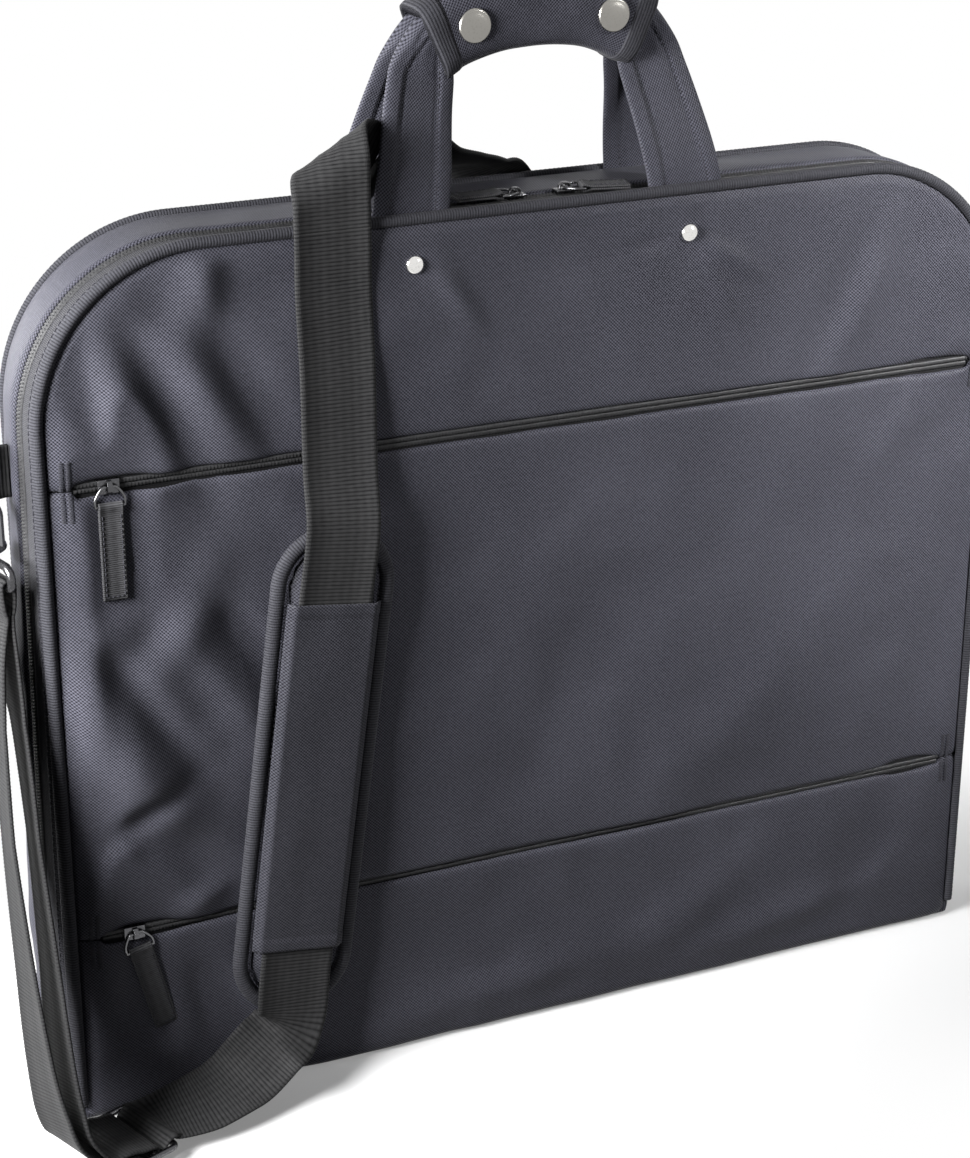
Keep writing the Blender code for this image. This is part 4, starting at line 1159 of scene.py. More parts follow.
@dataclass
class ShoulderStrap:
    """The webbing from the left hook through the slide, the pad and over the top to the right hook."""

    width: float = 0.04
    thick: float = 0.002
    rib: float = 0.002
    sewn_tail: float = 0.036
    slide_wire: float = 0.00175
    slide_pitch: float = 0.013
    handle_offset: float = 0.077
    outer_bow: float = 5.0
    side_run: tuple = (
        (0.2, (0.0, 0.002, 0.002), (-0.04, -0.99, 0.12)),
        (0.4, (-0.004, 0.0, 0.0), (-0.08, -0.98, 0.13)),
        (0.65, (-0.009, -0.002, 0.0), (0.02, -0.98, 0.13)),
        (0.84, (-0.013, -0.004, 0.0), (0.14, -0.98, 0.08)),
        (0.95, (-0.012, -0.005, 0.0), (0.3, -0.95, 0.0)),
    )
    floor_run: tuple = (
        (0.32, (0.0, -0.003, -0.007), (0.45, -0.85, -0.25)),
        (0.59, (0.0, -0.002, -0.01), (0.7, -0.66, -0.2)),
        (0.81, (0.0, -0.003, -0.004), (0.93, -0.35, -0.05)),
    )
    back_run: tuple = (
        (0.13, (0.0, 0.001, -0.01), (-0.66, 0.0, -0.75)),
        (0.3, (0.0, -0.004, -0.02), (-0.66, 0.0, -0.75)),
        (0.49, (0.0, -0.006, -0.028), (-0.66, 0.0, -0.75)),
        (0.67, (0.0, 0.0, -0.033), (-0.6, -0.1, -0.78)),
        (0.81, (0.0, 0.012, -0.03), (-0.45, -0.35, -0.8)),
        (0.93, (0.0, 0.014, -0.018), (-0.2, -0.6, -0.77)),
    )
    front_run: tuple = (
        (-0.044, -1, -0.008, -0.12, (1.0, 0.0, -0.03)),
        (-0.043, -1, -0.0046, -0.07, (1.0, 0.0, 0.0)),
        (-0.044, -1, -0.004, -0.03, (1.0, 0.0, 0.0)),
        (-0.044, -1, -0.0046, -0.01, (1.0, 0.0, 0.0)),
    )
    over_run: tuple = (
        (-0.001, 0, -0.004, 0.0258, (-0.44, 0.2, -0.87)),
        (0.013, 0, 0.003, 0.0242, (-0.4, 0.45, -0.8)),
        (0.027, 0, 0.0095, 0.0175, (-0.4, 0.7, -0.55)),
        (0.044, 0, 0.021, 0.0145, (-0.52, 0.72, -0.32)),
        (0.063, 1, 0.006, 0.009, (-0.75, 0.62, -0.1)),
        (0.079, 1, 0.013, -0.007, (-0.8, 0.25, -0.5)),
        (0.093, 1, 0.009, -0.029, (-0.68, 0.0, -0.73)),
    )
    fold_middle: tuple = (-0.044, -1, -0.0046, 0.0222)
    fold_turn: float = radians(31)
    fold_radius: float = 0.0115
    fold_in: float = 0.0205
    fold_out: float = 0.056
    back_loop: tuple = (0.277, 0.064, 0.265)
    back_loop_across: tuple = (-0.05, -0.78, -0.6)

    def slide_frame(self) -> Matrix:
        """The three-bar slide's frame: X along the webbing, Y across it, Z out of it.

        Returns:
            The frame.
        """
        across = Vector((0.36, -0.93, -0.05)).normalized()
        along = Vector((0.93, 0.36, 0.0))
        along = (along - across * along.dot(across)).normalized()
        return columns_matrix(Vector((-0.257, -0.066, 0.0105)), along, across, along.cross(across))

    def layer(self, route: Sequence[Station], offset: float) -> list[Station]:
        """One of two layers along a route: moved to its own side and bowed out between the ends.

        Args:
            route: The stations.
            offset: Distance to its side.

        Returns:
            The moved stations.
        """
        moved = []
        last = len(route) - 1
        for i, (point, across) in enumerate(route):
            bow = 1 + (self.outer_bow if offset > 0 else 1.0) * sin(pi * (i / last) ** 0.75)
            way = (route[min(i + 1, last)][0] - route[max(i - 1, 0)][0]).normalized()
            across = (across - way * across.dot(way)).normalized()
            moved.append((point + way.cross(across) * offset * bow, across))
        return moved

    def side_layer(self, run: Sequence[Station], turn: float, ending: Sequence[Station]) -> list[Station]:
        """One layer from the left hook's eye down to the slide, on the side that turn picks.

        Args:
            run: The middle of both layers.
            turn: -1 or 1.
            ending: Stations at the slide.

        Returns:
            The stations.
        """
        left = LEFT_END.eye_frame()
        radius = LEFT_END.eye_wire + GAP + self.thick / 2
        start = LEFT_END.wrap([12 * turn, 50 * turn, 90 * turn])
        start.append(station(left, 0, 0.8 * turn * radius, -LEFT_END.eye_drop, (1, 0, 0)))
        down = self.layer(run, -turn * (self.thick / 2 + 2 * GAP))
        return curve_through([*start, *down[:: max(1, len(down) // 12)], *ending], 6)

    def right_end(self) -> list[Station]:
        """The end that wraps the right hook's eye and is sewn back on itself.

        Returns:
            The stations.
        """
        right = RIGHT_END.eye_frame()
        drop = RIGHT_END.eye_drop
        radius = RIGHT_END.eye_wire + GAP + self.thick / 2
        half = self.thick / 2 + 2 * GAP
        turn = (-1, 0, 0)
        route = [station(right, 0, -half, z, turn) for z in (-self.sewn_tail, -2 * drop)]
        route.append(station(right, 0, -0.8 * radius, -drop, turn))
        route += [(point, -across) for point, across in RIGHT_END.wrap((-90, -45, 0, 45, 90))]
        route.append(station(right, 0, 0.8 * radius, -drop, turn))
        return route + [station(right, 0, half, z, turn) for z in (-2 * drop, -self.sewn_tail)]

    def spot(self, x: float, side: float, y: float, z: float) -> Vector:
        """A place from the left handle's middle, the bag's middle or a broad face, and the bag's top."""
        return Vector((x - self.handle_offset, side * FORM.half_depth + y, z + FORM.top))

    def folded(self, point: Vector) -> Vector:
        """Where a point of straight webbing goes when it is rolled back over the slanting fold.

        Args:
            point: The point.

        Returns:
            Its new place.
        """
        middle = self.spot(*self.fold_middle)
        crease = Vector((cos(self.fold_turn), 0, sin(self.fold_turn)))
        over = Vector((-crease.z, 0, crease.x))
        flat = point - middle
        rise, radius = flat.dot(over), self.fold_radius
        angle = min(max(rise / radius, 0.0), pi)
        past = min(rise, 0.0) - max(rise - pi * radius, 0.0)
        arm = over * sin(angle) - BACK * cos(angle)
        return middle + crease * flat.dot(crease) + BACK * radius + arm * (radius - flat.y) + over * past

    def corner(self) -> tuple[Piece, list[Vector]]:
        """The fold over the top edge, and its middle line.

        Returns:
            The piece and the points.
        """
        middle = self.spot(*self.fold_middle)
        ends = [middle + UP * (self.fold_out * i / 16 - self.fold_in * (1 - i / 16)) for i in range(17)]
        obj = web("strap_corner", Line([(point, RIGHT) for point in ends]), self.width, self.thick, self.rib)
        for vertex in obj.data.vertices:
            vertex.co = self.folded(vertex.co)
        return obj, [self.folded(point) for point in ends]

    def lines(self) -> tuple[Line, Line, Line, Line]:
        """The runs to the pad's middle, on to the top edge, over it, and from the left hook to the slide.

        Returns:
            The four lines.
        """
        slide = self.slide_frame()
        pad = PAD.frame()
        pitch = self.slide_pitch
        level = (0, 1, 0)
        inner = self.slide_wire + GAP + self.thick / 2
        outer = inner + self.thick + GAP
        entry = station(slide, -1.7 * pitch, 0, -(inner + outer) / 2, level)
        top = station(LEFT_END.eye_frame(), 0, 0, -2 * LEFT_END.eye_drop, (1, 0, 0))
        run = curve_through([top, *between(top[0], entry[0], self.side_run), entry], 4)
        weave = [(-1, -inner - GAP), (-0.65, -0.15 * inner), (-0.38, 1.3 * inner), (0, outer + GAP)]
        weave += mirror(weave[:-1])
        main = [station(slide, x * pitch, 0, z, level) for x, z in weave]
        main.append(station(slide, 1.55 * pitch, 0, -0.75 * inner, level))
        over = PAD.crown + GAP + self.thick / 2
        end = PAD.length / 2
        shares = (-1.03, -0.8, -0.4, 0, 0.5, 0.75, 1)
        on_pad = [station(pad, 0, share * end, over, (1, 0, 0)) for share in shares]
        lower = main + between(main[-1][0], on_pad[0][0], self.floor_run) + on_pad[:4]
        upper = on_pad[3:]
        bottom = self.spot(*self.fold_middle)
        upper += [(self.spot(*place), Vector(across).normalized()) for *place, across in self.front_run]
        upper += [(bottom - UP * (self.fold_in + extra), RIGHT.copy()) for extra in (0.004, 0.0)]
        up = bottom + UP * self.fold_out
        start = self.folded(up)
        way = (start - self.folded(up - UP * 0.001)).normalized()
        across = BACK.cross(way)
        over = [(start + way * extra, across.copy()) for extra in (0.0, 0.003)]
        over += [(self.spot(*place), Vector(across).normalized()) for *place, across in self.over_run]
        loop = Vector(self.back_loop)
        over += between(over[-1][0], loop, self.back_run) + [(loop, Vector(self.back_loop_across))]
        over += self.right_end()
        back = [station(slide, -pitch, 0, -outer - 3 * GAP, level)]
        back.append(station(slide, -pitch / 2, 0, -1.4 * inner, level))
        angles = [radians(turn) for turn in (0, 45, 90, 130, 170)]
        back += [station(slide, inner * sin(a), 0, -inner * cos(a), level) for a in angles]
        first = Line(self.side_layer(run, -1, lower))
        third = Line(self.side_layer(run, 1, back))
        return first, Line(curve_through(upper, 8)), Line(curve_through(over, 8)), third

    def build(self) -> None:
        """Make the three webbing pieces."""
        lower, upper, over, back = self.lines()
        bend, middle_line = self.corner()
        runs = {"strap_lower": [lower], "strap_upper": [upper, over], "strap_inner": [back]}
        nodes = {"strap_lower": "strap_main", "strap_upper": "strap_main", "strap_inner": "strap_return"}
        for name, lines in runs.items():
            parts = [web(name, line, self.width, self.thick, self.rib) for line in lines]
            points = lines[0].points(0.01)
            length = sum(line.length for line in lines)
            if name == "strap_upper":
                parts.append(bend)
                points += middle_line[1:-1] + over.points(0.01)
                length += self.fold_in + self.fold_out
            obj = keep(join(name, parts), WEBBING, None, nodes[name])
            if name == "strap_lower":
                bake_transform(obj)
            elif name == "strap_upper":
                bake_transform(obj)
            else:
                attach(obj, "rear_half")
            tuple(points[0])


# Broad faces
@dataclass(frozen=True)
class Fold:
    """A soft ridge or dent pressed into a broad face."""

    x: float
    z: float
    turn: float
    length: float
    width: float
    height: float

    def at(self, x: float, z: float) -> float:
        """How far it lifts the cloth at a point.

        Args:
            x: X of the point.
            z: Z of the point.

        Returns:
            The height.
        """
        run, rise = x - self.x, z - self.z
        if abs(run) + abs(rise) > 4 * self.length:
            return 0.0
        angle = radians(self.turn)
        along = (run * cos(angle) + rise * sin(angle)) / self.length
        across = (rise * cos(angle) - run * sin(angle)) / self.width
        return self.height * exp(-along * along - across * across)


FRONT_ROWS = (
    (-0.231, 0.388, -72, 0.036, 0.011, 0.003),
    (-0.252, 0.402, -72, 0.03, 0.009, -0.0018),
    (-0.212, 0.392, -66, 0.04, 0.01, -0.002),
    (-0.194, 0.405, -60, 0.045, 0.012, 0.0022),
    (-0.17, 0.395, -60, 0.04, 0.012, -0.0016),
    (-0.193, 0.456, -85, 0.018, 0.01, 0.002),
    (-0.216, 0.446, -60, 0.016, 0.009, -0.0014),
    (-0.256, 0.332, -80, 0.03, 0.008, 0.0018),
    (-0.24, 0.322, -70, 0.022, 0.009, -0.002),
    (-0.258, 0.285, 88, 0.055, 0.008, 0.0018),
    (-0.203, 0.297, 60, 0.03, 0.016, 0.0024),
    (-0.228, 0.282, 50, 0.026, 0.012, -0.0018),
    (-0.246, 0.218, -57, 0.045, 0.015, 0.0034),
    (-0.232, 0.24, -57, 0.042, 0.008, -0.0024),
    (-0.236, 0.182, 32, 0.026, 0.007, -0.0022),
    (-0.254, 0.15, 80, 0.035, 0.009, 0.0022),
    (-0.215, 0.155, -40, 0.04, 0.014, -0.002),
    (-0.19, 0.245, -57, 0.04, 0.011, 0.002),
    (-0.178, 0.268, -57, 0.035, 0.009, -0.0018),
    (-0.215, 0.124, 20, 0.02, 0.007, 0.0014),
    (-0.255, 0.092, 80, 0.02, 0.008, 0.0016),
    (-0.235, 0.056, -60, 0.04, 0.016, 0.0026),
    (-0.203, 0.06, -60, 0.04, 0.013, -0.002),
    (-0.165, 0.05, -50, 0.04, 0.015, 0.0016),
    (-0.06, 0.062, -35, 0.04, 0.016, -0.0016),
    (-0.04, 0.03, 8, 0.08, 0.014, 0.0016),
    (0.036, 0.076, -40, 0.035, 0.013, -0.0018),
    (0.08, 0.05, 30, 0.045, 0.014, 0.0016),
    (0.15, 0.034, 10, 0.07, 0.012, 0.0016),
    (0.205, 0.07, 62, 0.04, 0.014, -0.0016),
    (0.162, 0.405, 65, 0.036, 0.008, -0.0018),
    (0.18, 0.404, 65, 0.036, 0.01, 0.0014),
    (-0.005, 0.41, -55, 0.05, 0.02, -0.0016),
    (0.098, 0.436, -32, 0.026, 0.005, 0.001),
    (0.062, 0.46, -50, 0.018, 0.0045, -0.0012),
    (0.078, 0.462, 88, 0.012, 0.005, -0.001),
    (0.052, 0.45, 8, 0.022, 0.003, -0.0008),
    (0.09, 0.42, -62, 0.026, 0.007, 0.0008),
    (-0.062, 0.436, -52, 0.024, 0.006, 0.0008),
    (0.215, 0.335, 48, 0.05, 0.012, 0.0018),
    (0.236, 0.312, 48, 0.045, 0.011, -0.0016),
    (0.246, 0.2, 76, 0.06, 0.012, -0.0018),
    (0.012, 0.215, 58, 0.06, 0.03, -0.002),
    (0.08, 0.15, 40, 0.09, 0.026, 0.0014),
    (-0.06, 0.3, 30, 0.07, 0.026, -0.0012),
    (0.15, 0.26, 55, 0.09, 0.024, -0.001),
)
FRONT_FOLDS = [Fold(*row) for row in FRONT_ROWS]
BACK_ROWS = (
    (-0.2, 0.38, -45, 0.06, 0.018, 0.002),
    (0.19, 0.34, 50, 0.06, 0.02, 0.0018),
    (-0.1, 0.24, 20, 0.12, 0.026, -0.0012),
    (0.08, 0.16, -25, 0.12, 0.026, 0.0014),
    (-0.21, 0.12, 60, 0.06, 0.018, 0.0018),
    (0.22, 0.09, -62, 0.05, 0.016, 0.0018),
    (0.0, 0.06, 4, 0.12, 0.016, -0.001),
    (-0.06, 0.434, -50, 0.026, 0.006, 0.0008),
    (0.06, 0.434, 50, 0.026, 0.006, 0.0008),
    (-0.226, 0.3, -74, 0.05, 0.012, 0.0014),
    (-0.204, 0.286, -70, 0.044, 0.01, -0.0012),
    (0.228, 0.236, 78, 0.05, 0.011, 0.0014),
    (0.206, 0.222, 70, 0.044, 0.01, -0.0012),
    (-0.235, 0.05, 55, 0.04, 0.012, 0.0014),
    (0.13, 0.41, 35, 0.04, 0.012, -0.0012),
    (0.03, 0.3, -30, 0.09, 0.022, -0.001),
)
BACK_FOLDS = [Fold(*row) for row in BACK_ROWS]


@dataclass
class BroadFaces:
    """The three front panels, the back panel and the bottom tray."""

    slot_half: float = 0.0038
    slot_reach: float = 0.256
    parked_x: float = 0.235
    pull_reach: float = 0.06
    pull_limit: float = 0.0326
    raised_limit: float = 0.0309
    raised_slope: float = 0.17
    cloth: float = 0.0013
    inset: float = 0.0008
    face: float = 0.0316
    tuck: float = 0.0026
    edge_fade: float = 0.0055
    belly: float = 0.0038
    crown: float = 0.001
    lip: float = 0.0016
    fold_shift: Pair = (0.0065, 0.0035)
    curl: float = 0.008
    tack_columns: Pair = (0.2585, 0.262)
    tack_half: float = 0.0013
    tack_pitch: float = 0.00092
    rivet_x: float = 0.077
    rivet_z: float = 0.449
    columns: int = 190
    fold_gain: float = 2.3
    back_gain: float = 2.0
    swell: float = 0.0052
    least: float = 0.0304
    soft: float = 0.0012

    def gap(self, x: float, level: float, above: bool) -> float:
        """How far a zip slot's lip lies from the zip's middle at x.

        The upper lip hangs over the teeth, the lower zip is drawn nearly shut, both open round
        the slider at either end of its travel, and both close to a seam at the ends.

        Args:
            x: X of the point.
            level: The zip's height.
            above: Whether it is the upper lip.

        Returns:
            The distance.
        """
        share = (0.6 if above else 0.95) if level > 0.2 else (0.3 if above else 0.55)
        parked = bell((abs(x) - self.parked_x) / 0.017, 4)
        share += (1 - share) * parked
        return 0.0002 + share * self.slot_half * smooth_step((self.slot_reach + 0.0015 - abs(x)) / 0.003)

    def pressed(self, x: float, z: float, out: float) -> float:
        """The face drawn in under the handle's rivets."""
        far = hypot(abs(x) - self.rivet_x, z - self.rivet_z)
        return out + (self.face - 0.0002 - out) * bell(far / 0.013)

    def cleared(self, x: float, rise: float, out: float) -> float:
        """The face drawn in where a pull hangs below its zip or is swung up above it.

        Args:
            x: X of the point.
            rise: Height above the zip.
            out: How far the cloth stands out.

        Returns:
            How far it stands out then.
        """
        if rise < 0:
            limit, width = self.pull_limit, 0.016
            share = smooth_step((rise + self.pull_reach + 0.025) / 0.025)
        else:
            limit, width = self.raised_limit + self.raised_slope * rise, 0.028
            share = smooth_step((self.pull_reach + 0.02 - rise) / 0.02)
        if out <= limit:
            return out
        near = bell((abs(x) - self.parked_x) / width, 4)
        drawn = 0.4 + 0.55 * near if rise < 0 else 0.95 * near
        return limit + (1 - share * drawn) * (out - limit)

    def front_out(self, x: float, z: float) -> float:
        """How far the front stands out from the middle of the bag.

        Args:
            x: X of the point.
            z: Z of the point.

        Returns:
            The distance.
        """
        inside = FORM.inside(x, z)
        out = self.face - self.tuck * exp(-inside / self.edge_fade)
        middle = bell((z - 0.2) / 0.072)
        crown = bell((z - 0.415) / 0.035)
        spread = 1 - (abs(x) / FORM.half_width) ** 4
        out += (self.belly * middle + self.crown * crown) * spread
        calm = smooth_step(inside / 0.011)
        shift_x, shift_z = self.fold_shift
        out += calm * self.fold_gain * sum(fold.at(x - shift_x, z + shift_z) for fold in FRONT_FOLDS)
        ends = smooth_step((z - 0.02) / 0.05) * smooth_step((0.44 - z) / 0.06)
        out += calm * ends * self.swell * bell((x + 0.226) / 0.03)
        out += calm * 0.0018 * ripple(x * 16, 1.7, z * 16)
        out += calm * 0.0006 * ripple(x * 48, 4.1, z * 48)
        if inside > 0.004 and out < self.least + self.soft:
            out = self.least + self.soft * exp((out - self.least) / self.soft - 1)
        for level in (UPPER_ZIP, LOWER_ZIP):
            out = self.cleared(x, z - level, out)
            lip = abs(z - level) - self.gap(x, level, z > level)
            out -= self.lip * exp(-max(lip, 0.0) / self.lip)
        return self.pressed(x, z, out)

    def back_out(self, x: float, z: float) -> float:
        """How far the back stands out from the middle of the bag.

        Args:
            x: X of the point.
            z: Z of the point.

        Returns:
            The distance.
        """
        inside = FORM.inside(x, z)
        out = self.face - self.tuck * exp(-inside / self.edge_fade)
        calm = smooth_step(inside / 0.02)
        out += calm * 0.001 * bell((z - 0.22) / 0.12)
        out += calm * self.back_gain * sum(fold.at(x, z) for fold in BACK_FOLDS)
        out += calm * 0.0012 * ripple(x * 15, 9.3, z * 15)
        out += calm * 0.0004 * ripple(x * 46, 3.9, z * 46)
        return self.pressed(x, z, out)

    def panel(self, name: str, front: bool, low: Callable | None, high: Callable, rows: int) -> Piece:
        """One cloth panel between the heights of two edges; it turns under the bag if low is None.

        Args:
            name: The piece's name.
            front: Whether it is on the front.
            low: The lower edge's height at x.
            high: The upper edge's height at x.
            rows: Faces from edge to edge.

        Returns:
            The new piece.
        """
        sign = -1.0 if front else 1.0
        edge = FORM.half_width - self.inset
        turned_under = 0.14 if low is None else 0.0

        def place(u: float, v: float) -> Vector:
            """A point of the panel."""
            x = sign * edge * (2 * u - 1)
            share = 0.55 * v + 0.45 * (0.5 - 0.5 * cos(pi * v))
            if low is None:
                if v < turned_under:
                    angle = (1 - v / turned_under) * pi / 2
                    out = self.face_out(front, x, self.curl) - self.curl * (1 - cos(angle))
                    return Vector((x, sign * out, self.curl * (1 - sin(angle)) + 0.0004))
                z = self.curl + (high(x) - self.curl) * (v - turned_under) / (1 - turned_under)
            else:
                z = low(x) + (high(x) - low(x)) * share
            return Vector((x, sign * self.face_out(front, x, z), z))

        return facing(name, self.columns, rows, place, sign, self.cloth)

    def face_out(self, front: bool, x: float, z: float) -> float:
        """How far the front or the back stands out."""
        return self.front_out(x, z) if front else self.back_out(x, z)

    def tray(self) -> Piece:
        """The shallow bottom tray with soft edges.

        Returns:
            The new piece.
        """
        profile = ((0.0075, 0.0003), (0.003, 0.0008), (0.001, 0.0026), (0.0004, 0.0052), (0.0009, 0.0092))
        profile += ((0.0016, 0.0098), (0.0024, 0.0092), (0.0026, 0.0022), (0.008, 0.0016))
        depth = FORM.half_depth - 0.0006

        def place(u: float, v: float) -> Vector:
            """A point of the tray's rim."""
            inset, height = profile[round(v * (len(profile) - 1))]
            quarter, share = divmod(u * 4 % 4, 1)
            wide = FORM.half_width + 0.0012 - inset
            deep = depth - inset
            y = deep * sin((share - 0.5) * pi)
            swell = FORM.swell_low * max(0.0, 1 - (y / FORM.half_depth) ** 2)
            x = wide * sin((share - 0.5) * pi)
            if quarter == 0:
                return Vector((x, -deep, height))
            if quarter == 1:
                return Vector((wide + swell, y, height))
            if quarter == 2:
                return Vector((-x, deep, height))
            return Vector((-wide - swell, -y, height))

        obj = tube("bottom_tray", 160, len(profile) - 1, place, (1.2, 0.03), True)
        across_uv(obj, 1)
        shade(obj, 60)
        return obj

    def build(self) -> None:
        """Make the panels and dress them."""
        upper, lower = UPPER_ZIP, LOWER_ZIP
        roof = lambda x: FORM.roof(x, self.inset)  # noqa: E731
        top = self.panel("front_yoke", True, lambda x: upper + self.gap(x, upper, True), roof, 46)
        keep(top, CLOTH, FRONT, "front_top_panel")
        middle = self.panel(
            "front_face",
            True,
            lambda x: lower + self.gap(x, lower, True),
            lambda x: upper - self.gap(x, upper, False),
            92,
        )
        keep(middle, CLOTH, FRONT, "front_middle_panel")
        bottom = self.panel("front_skirt", True, None, lambda x: lower - self.gap(x, lower, False), 48)
        keep(bottom, CLOTH, None, "front_bottom_panel")
        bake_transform(bottom)
        keep(self.panel("back_face", False, None, roof, 130), CLOTH, REAR, "back_panel")
        keep(self.tray(), CLOTH, REAR, "bottom_panel")
        self.bar_tacks()

    def bar_tacks(self) -> None:
        """Dense short stitches across the ends of both pocket zips."""
        runs = []
        for level, sign, column, i in product((UPPER_ZIP, LOWER_ZIP), (-1, 1), self.tack_columns, range(34)):
            z = level + (i - 16.5) * self.tack_pitch
            ends = [sign * (column + side * self.tack_half) for side in (-1, 1)]
            runs.append([(Vector((x, -self.front_out(x, z) - 0.0001, z)), -BACK) for x in ends])
        keep(stitches("zip_end_tacks", runs, 0.00036), THREAD, FRONT)


# Edges and main zip
@dataclass
class Edges:
    """Gusset, piping and the two halves of the main zip round the bag's edge."""

    coil_width: float = 0.0048
    coil_height: float = 0.0014
    tape_half: float = 0.0004
    tooth: float = 0.0018
    piping: float = 0.003
    piping_out: float = 0.0016
    flange_width: float = 0.0065
    leg_outer: float = 0.0272
    gusset_front: float = FORM.main_zip_y + 0.0038
    gathers: tuple = ((0.03, 0.0016), (0.062, -0.0012), (0.095, 0.001), (0.25, 0.0009), (0.31, -0.0008))

    def crease(self, along: float, depth: float) -> float:
        """Wrinkles of the gusset: gathers near the lower corners and slow waves.

        Args:
            along: Distance along the edge.
            depth: Y of the point.

        Returns:
            The height.
        """
        wave = 0.0009 * ripple(along * 14, depth * 40, 2.2)
        wave += 0.0004 * ripple(along * 60, depth * 50, 7.7)
        for low, gather in self.gathers:
            for place in (low, FORM.length - low):
                slant = along - place - depth * 0.5
                wave += gather * bell(slant / 0.011)
        return wave * smooth_step((0.0265 - depth) / 0.008) * smooth_step((depth - self.gusset_front) / 0.006)

    def gusset(self) -> Piece:
        """The rear half's side wall.

        Returns:
            The new piece.
        """
        rear = self.leg_outer + 0.0016
        deep = rear - self.gusset_front

        def place(u: float, v: float) -> Vector:
            """A point of the wall."""
            depth = rear - u * deep
            along = v * FORM.length
            fold = 0.0013 * exp(-(depth - self.gusset_front) / 0.0009)
            tuck = 0.0016 * exp(-(rear - depth) / 0.0012)
            return FORM.wall(along, depth, 0.0022 - fold - tuck + self.crease(along, depth))

        return sheet("side_gusset", 22, 420, place, (deep, FORM.length), 0.0011)

    def band(self, name: str, near: float, far: float, offset: float) -> Piece:
        """A band of zip tape between two depths.

        Args:
            name: The piece's name.
            near: One depth.
            far: The other depth.
            offset: Distance out of the wall.

        Returns:
            The new piece.
        """

        def place(u: float, v: float) -> Vector:
            """A point of the tape."""
            depth = near + (far - near) * u
            wave = 0.0002 * ripple(v * 40, depth * 90, 5.5)
            return FORM.wall(v * FORM.length, depth, offset + wave)

        return sheet(name, 8, 330, place, (abs(far - near), FORM.length), 0.0006)

    def flange(self) -> tuple[Piece, Piece]:
        """The piping's sewn-down edge on the front tape, with its stitches.

        Returns:
            The strip and its thread.
        """
        near, far = -self.leg_outer + self.flange_width, -self.leg_outer

        def place(u: float, v: float) -> Vector:
            """A point of the strip."""
            depth = near + (far - near) * u
            edge = 0.0006 * exp(-(near - depth) / 0.0006)
            return FORM.wall(v * FORM.length, depth, 0.0012 - edge)

        def spot(distance: float) -> Station:
            """A thread end on the strip."""
            out = FORM.edge(distance)[1]
            return FORM.wall(distance, near - 0.0016, 0.0012), out

        strip = sheet("piping_flange", 10, 330, place, (self.flange_width, FORM.length), 0.0008)
        return strip, stitches("flange_thread", [row_of(spot, FORM.length, 0.0034)], 0.00027)

    def piping_cord(self, name: str, depth: float) -> Piece:
        """A cord in a ribbed strip along one edge.

        Args:
            name: The piece's name.
            depth: Y of its middle.

        Returns:
            The new piece.
        """
        ribs = 2 * round(FORM.length / 0.0026)

        def place(u: float, v: float) -> Vector:
            """A point of the cord."""
            angle = 2 * pi * u
            girth = self.piping * (1.0 if round(v * ribs) % 2 else 0.95)
            along = 0.0015 + v * (FORM.length - 0.003)
            out = self.piping_out + girth * sin(angle)
            return FORM.wall(along, depth + girth * cos(angle), out)

        return tube(name, 10, ribs, place, (2 * pi * self.piping, FORM.length), True)

    def coil(self, name: str, sign: float) -> Piece:
        """One row of the main zip's teeth.

        Args:
            name: The piece's name.
            sign: -1 for the front half, 1 for the rear.

        Returns:
            The new piece.
        """
        rows = 2 * round(FORM.length / self.tooth)
        near = FORM.main_zip_y + sign * GAP / 2
        reach = self.coil_width / 2
        profile = ((0.0, 0.05), (0.0, 0.75), (0.25, 1.0), (0.7, 0.95), (1.0, 0.45), (1.0, 0.0))

        def point(share: float, rise: float, v: float) -> Vector:
            """A point of the row."""
            offset = self.tape_half + rise * self.coil_height
            return FORM.wall(v * FORM.length, near + sign * share * reach, offset)

        obj = teeth_row(name, profile, rows, int(sign < 0), (reach, FORM.length), point)
        return edit(obj, bpy.ops.mesh.flip_normals) if sign > 0 else obj

    def build(self) -> None:
        """Make the edge pieces and dress them."""
        keep(self.gusset(), CLOTH, REAR, "rear_gusset")
        rim = FORM.half_depth
        keep(self.piping_cord("piping_front", 0.0008 - rim), BINDING, FRONT, "front_piping")
        keep(self.piping_cord("piping_rear", rim - 0.0008), BINDING, REAR, "rear_piping")
        strip, thread = self.flange()
        keep(strip, BINDING, FRONT, "front_piping")
        keep(thread, THREAD, FRONT)
        front = FORM.main_zip_y - self.coil_width / 2
        rear = FORM.main_zip_y + self.coil_width / 2
        tape = self.band("zip_tape_front", front + 0.002, -self.leg_outer, 0.0004)
        keep(tape, TAPE, FRONT, "main_zip_front")
        tape = self.band("zip_tape_rear", rear + 0.01, rear - 0.002, 0.0003)
        keep(tape, TAPE, REAR, "main_zip_rear")
        keep(self.coil("zip_teeth_front", -1.0), COIL, FRONT, "main_zip_front")
        keep(self.coil("zip_teeth_rear", 1.0), COIL, REAR, "main_zip_rear")


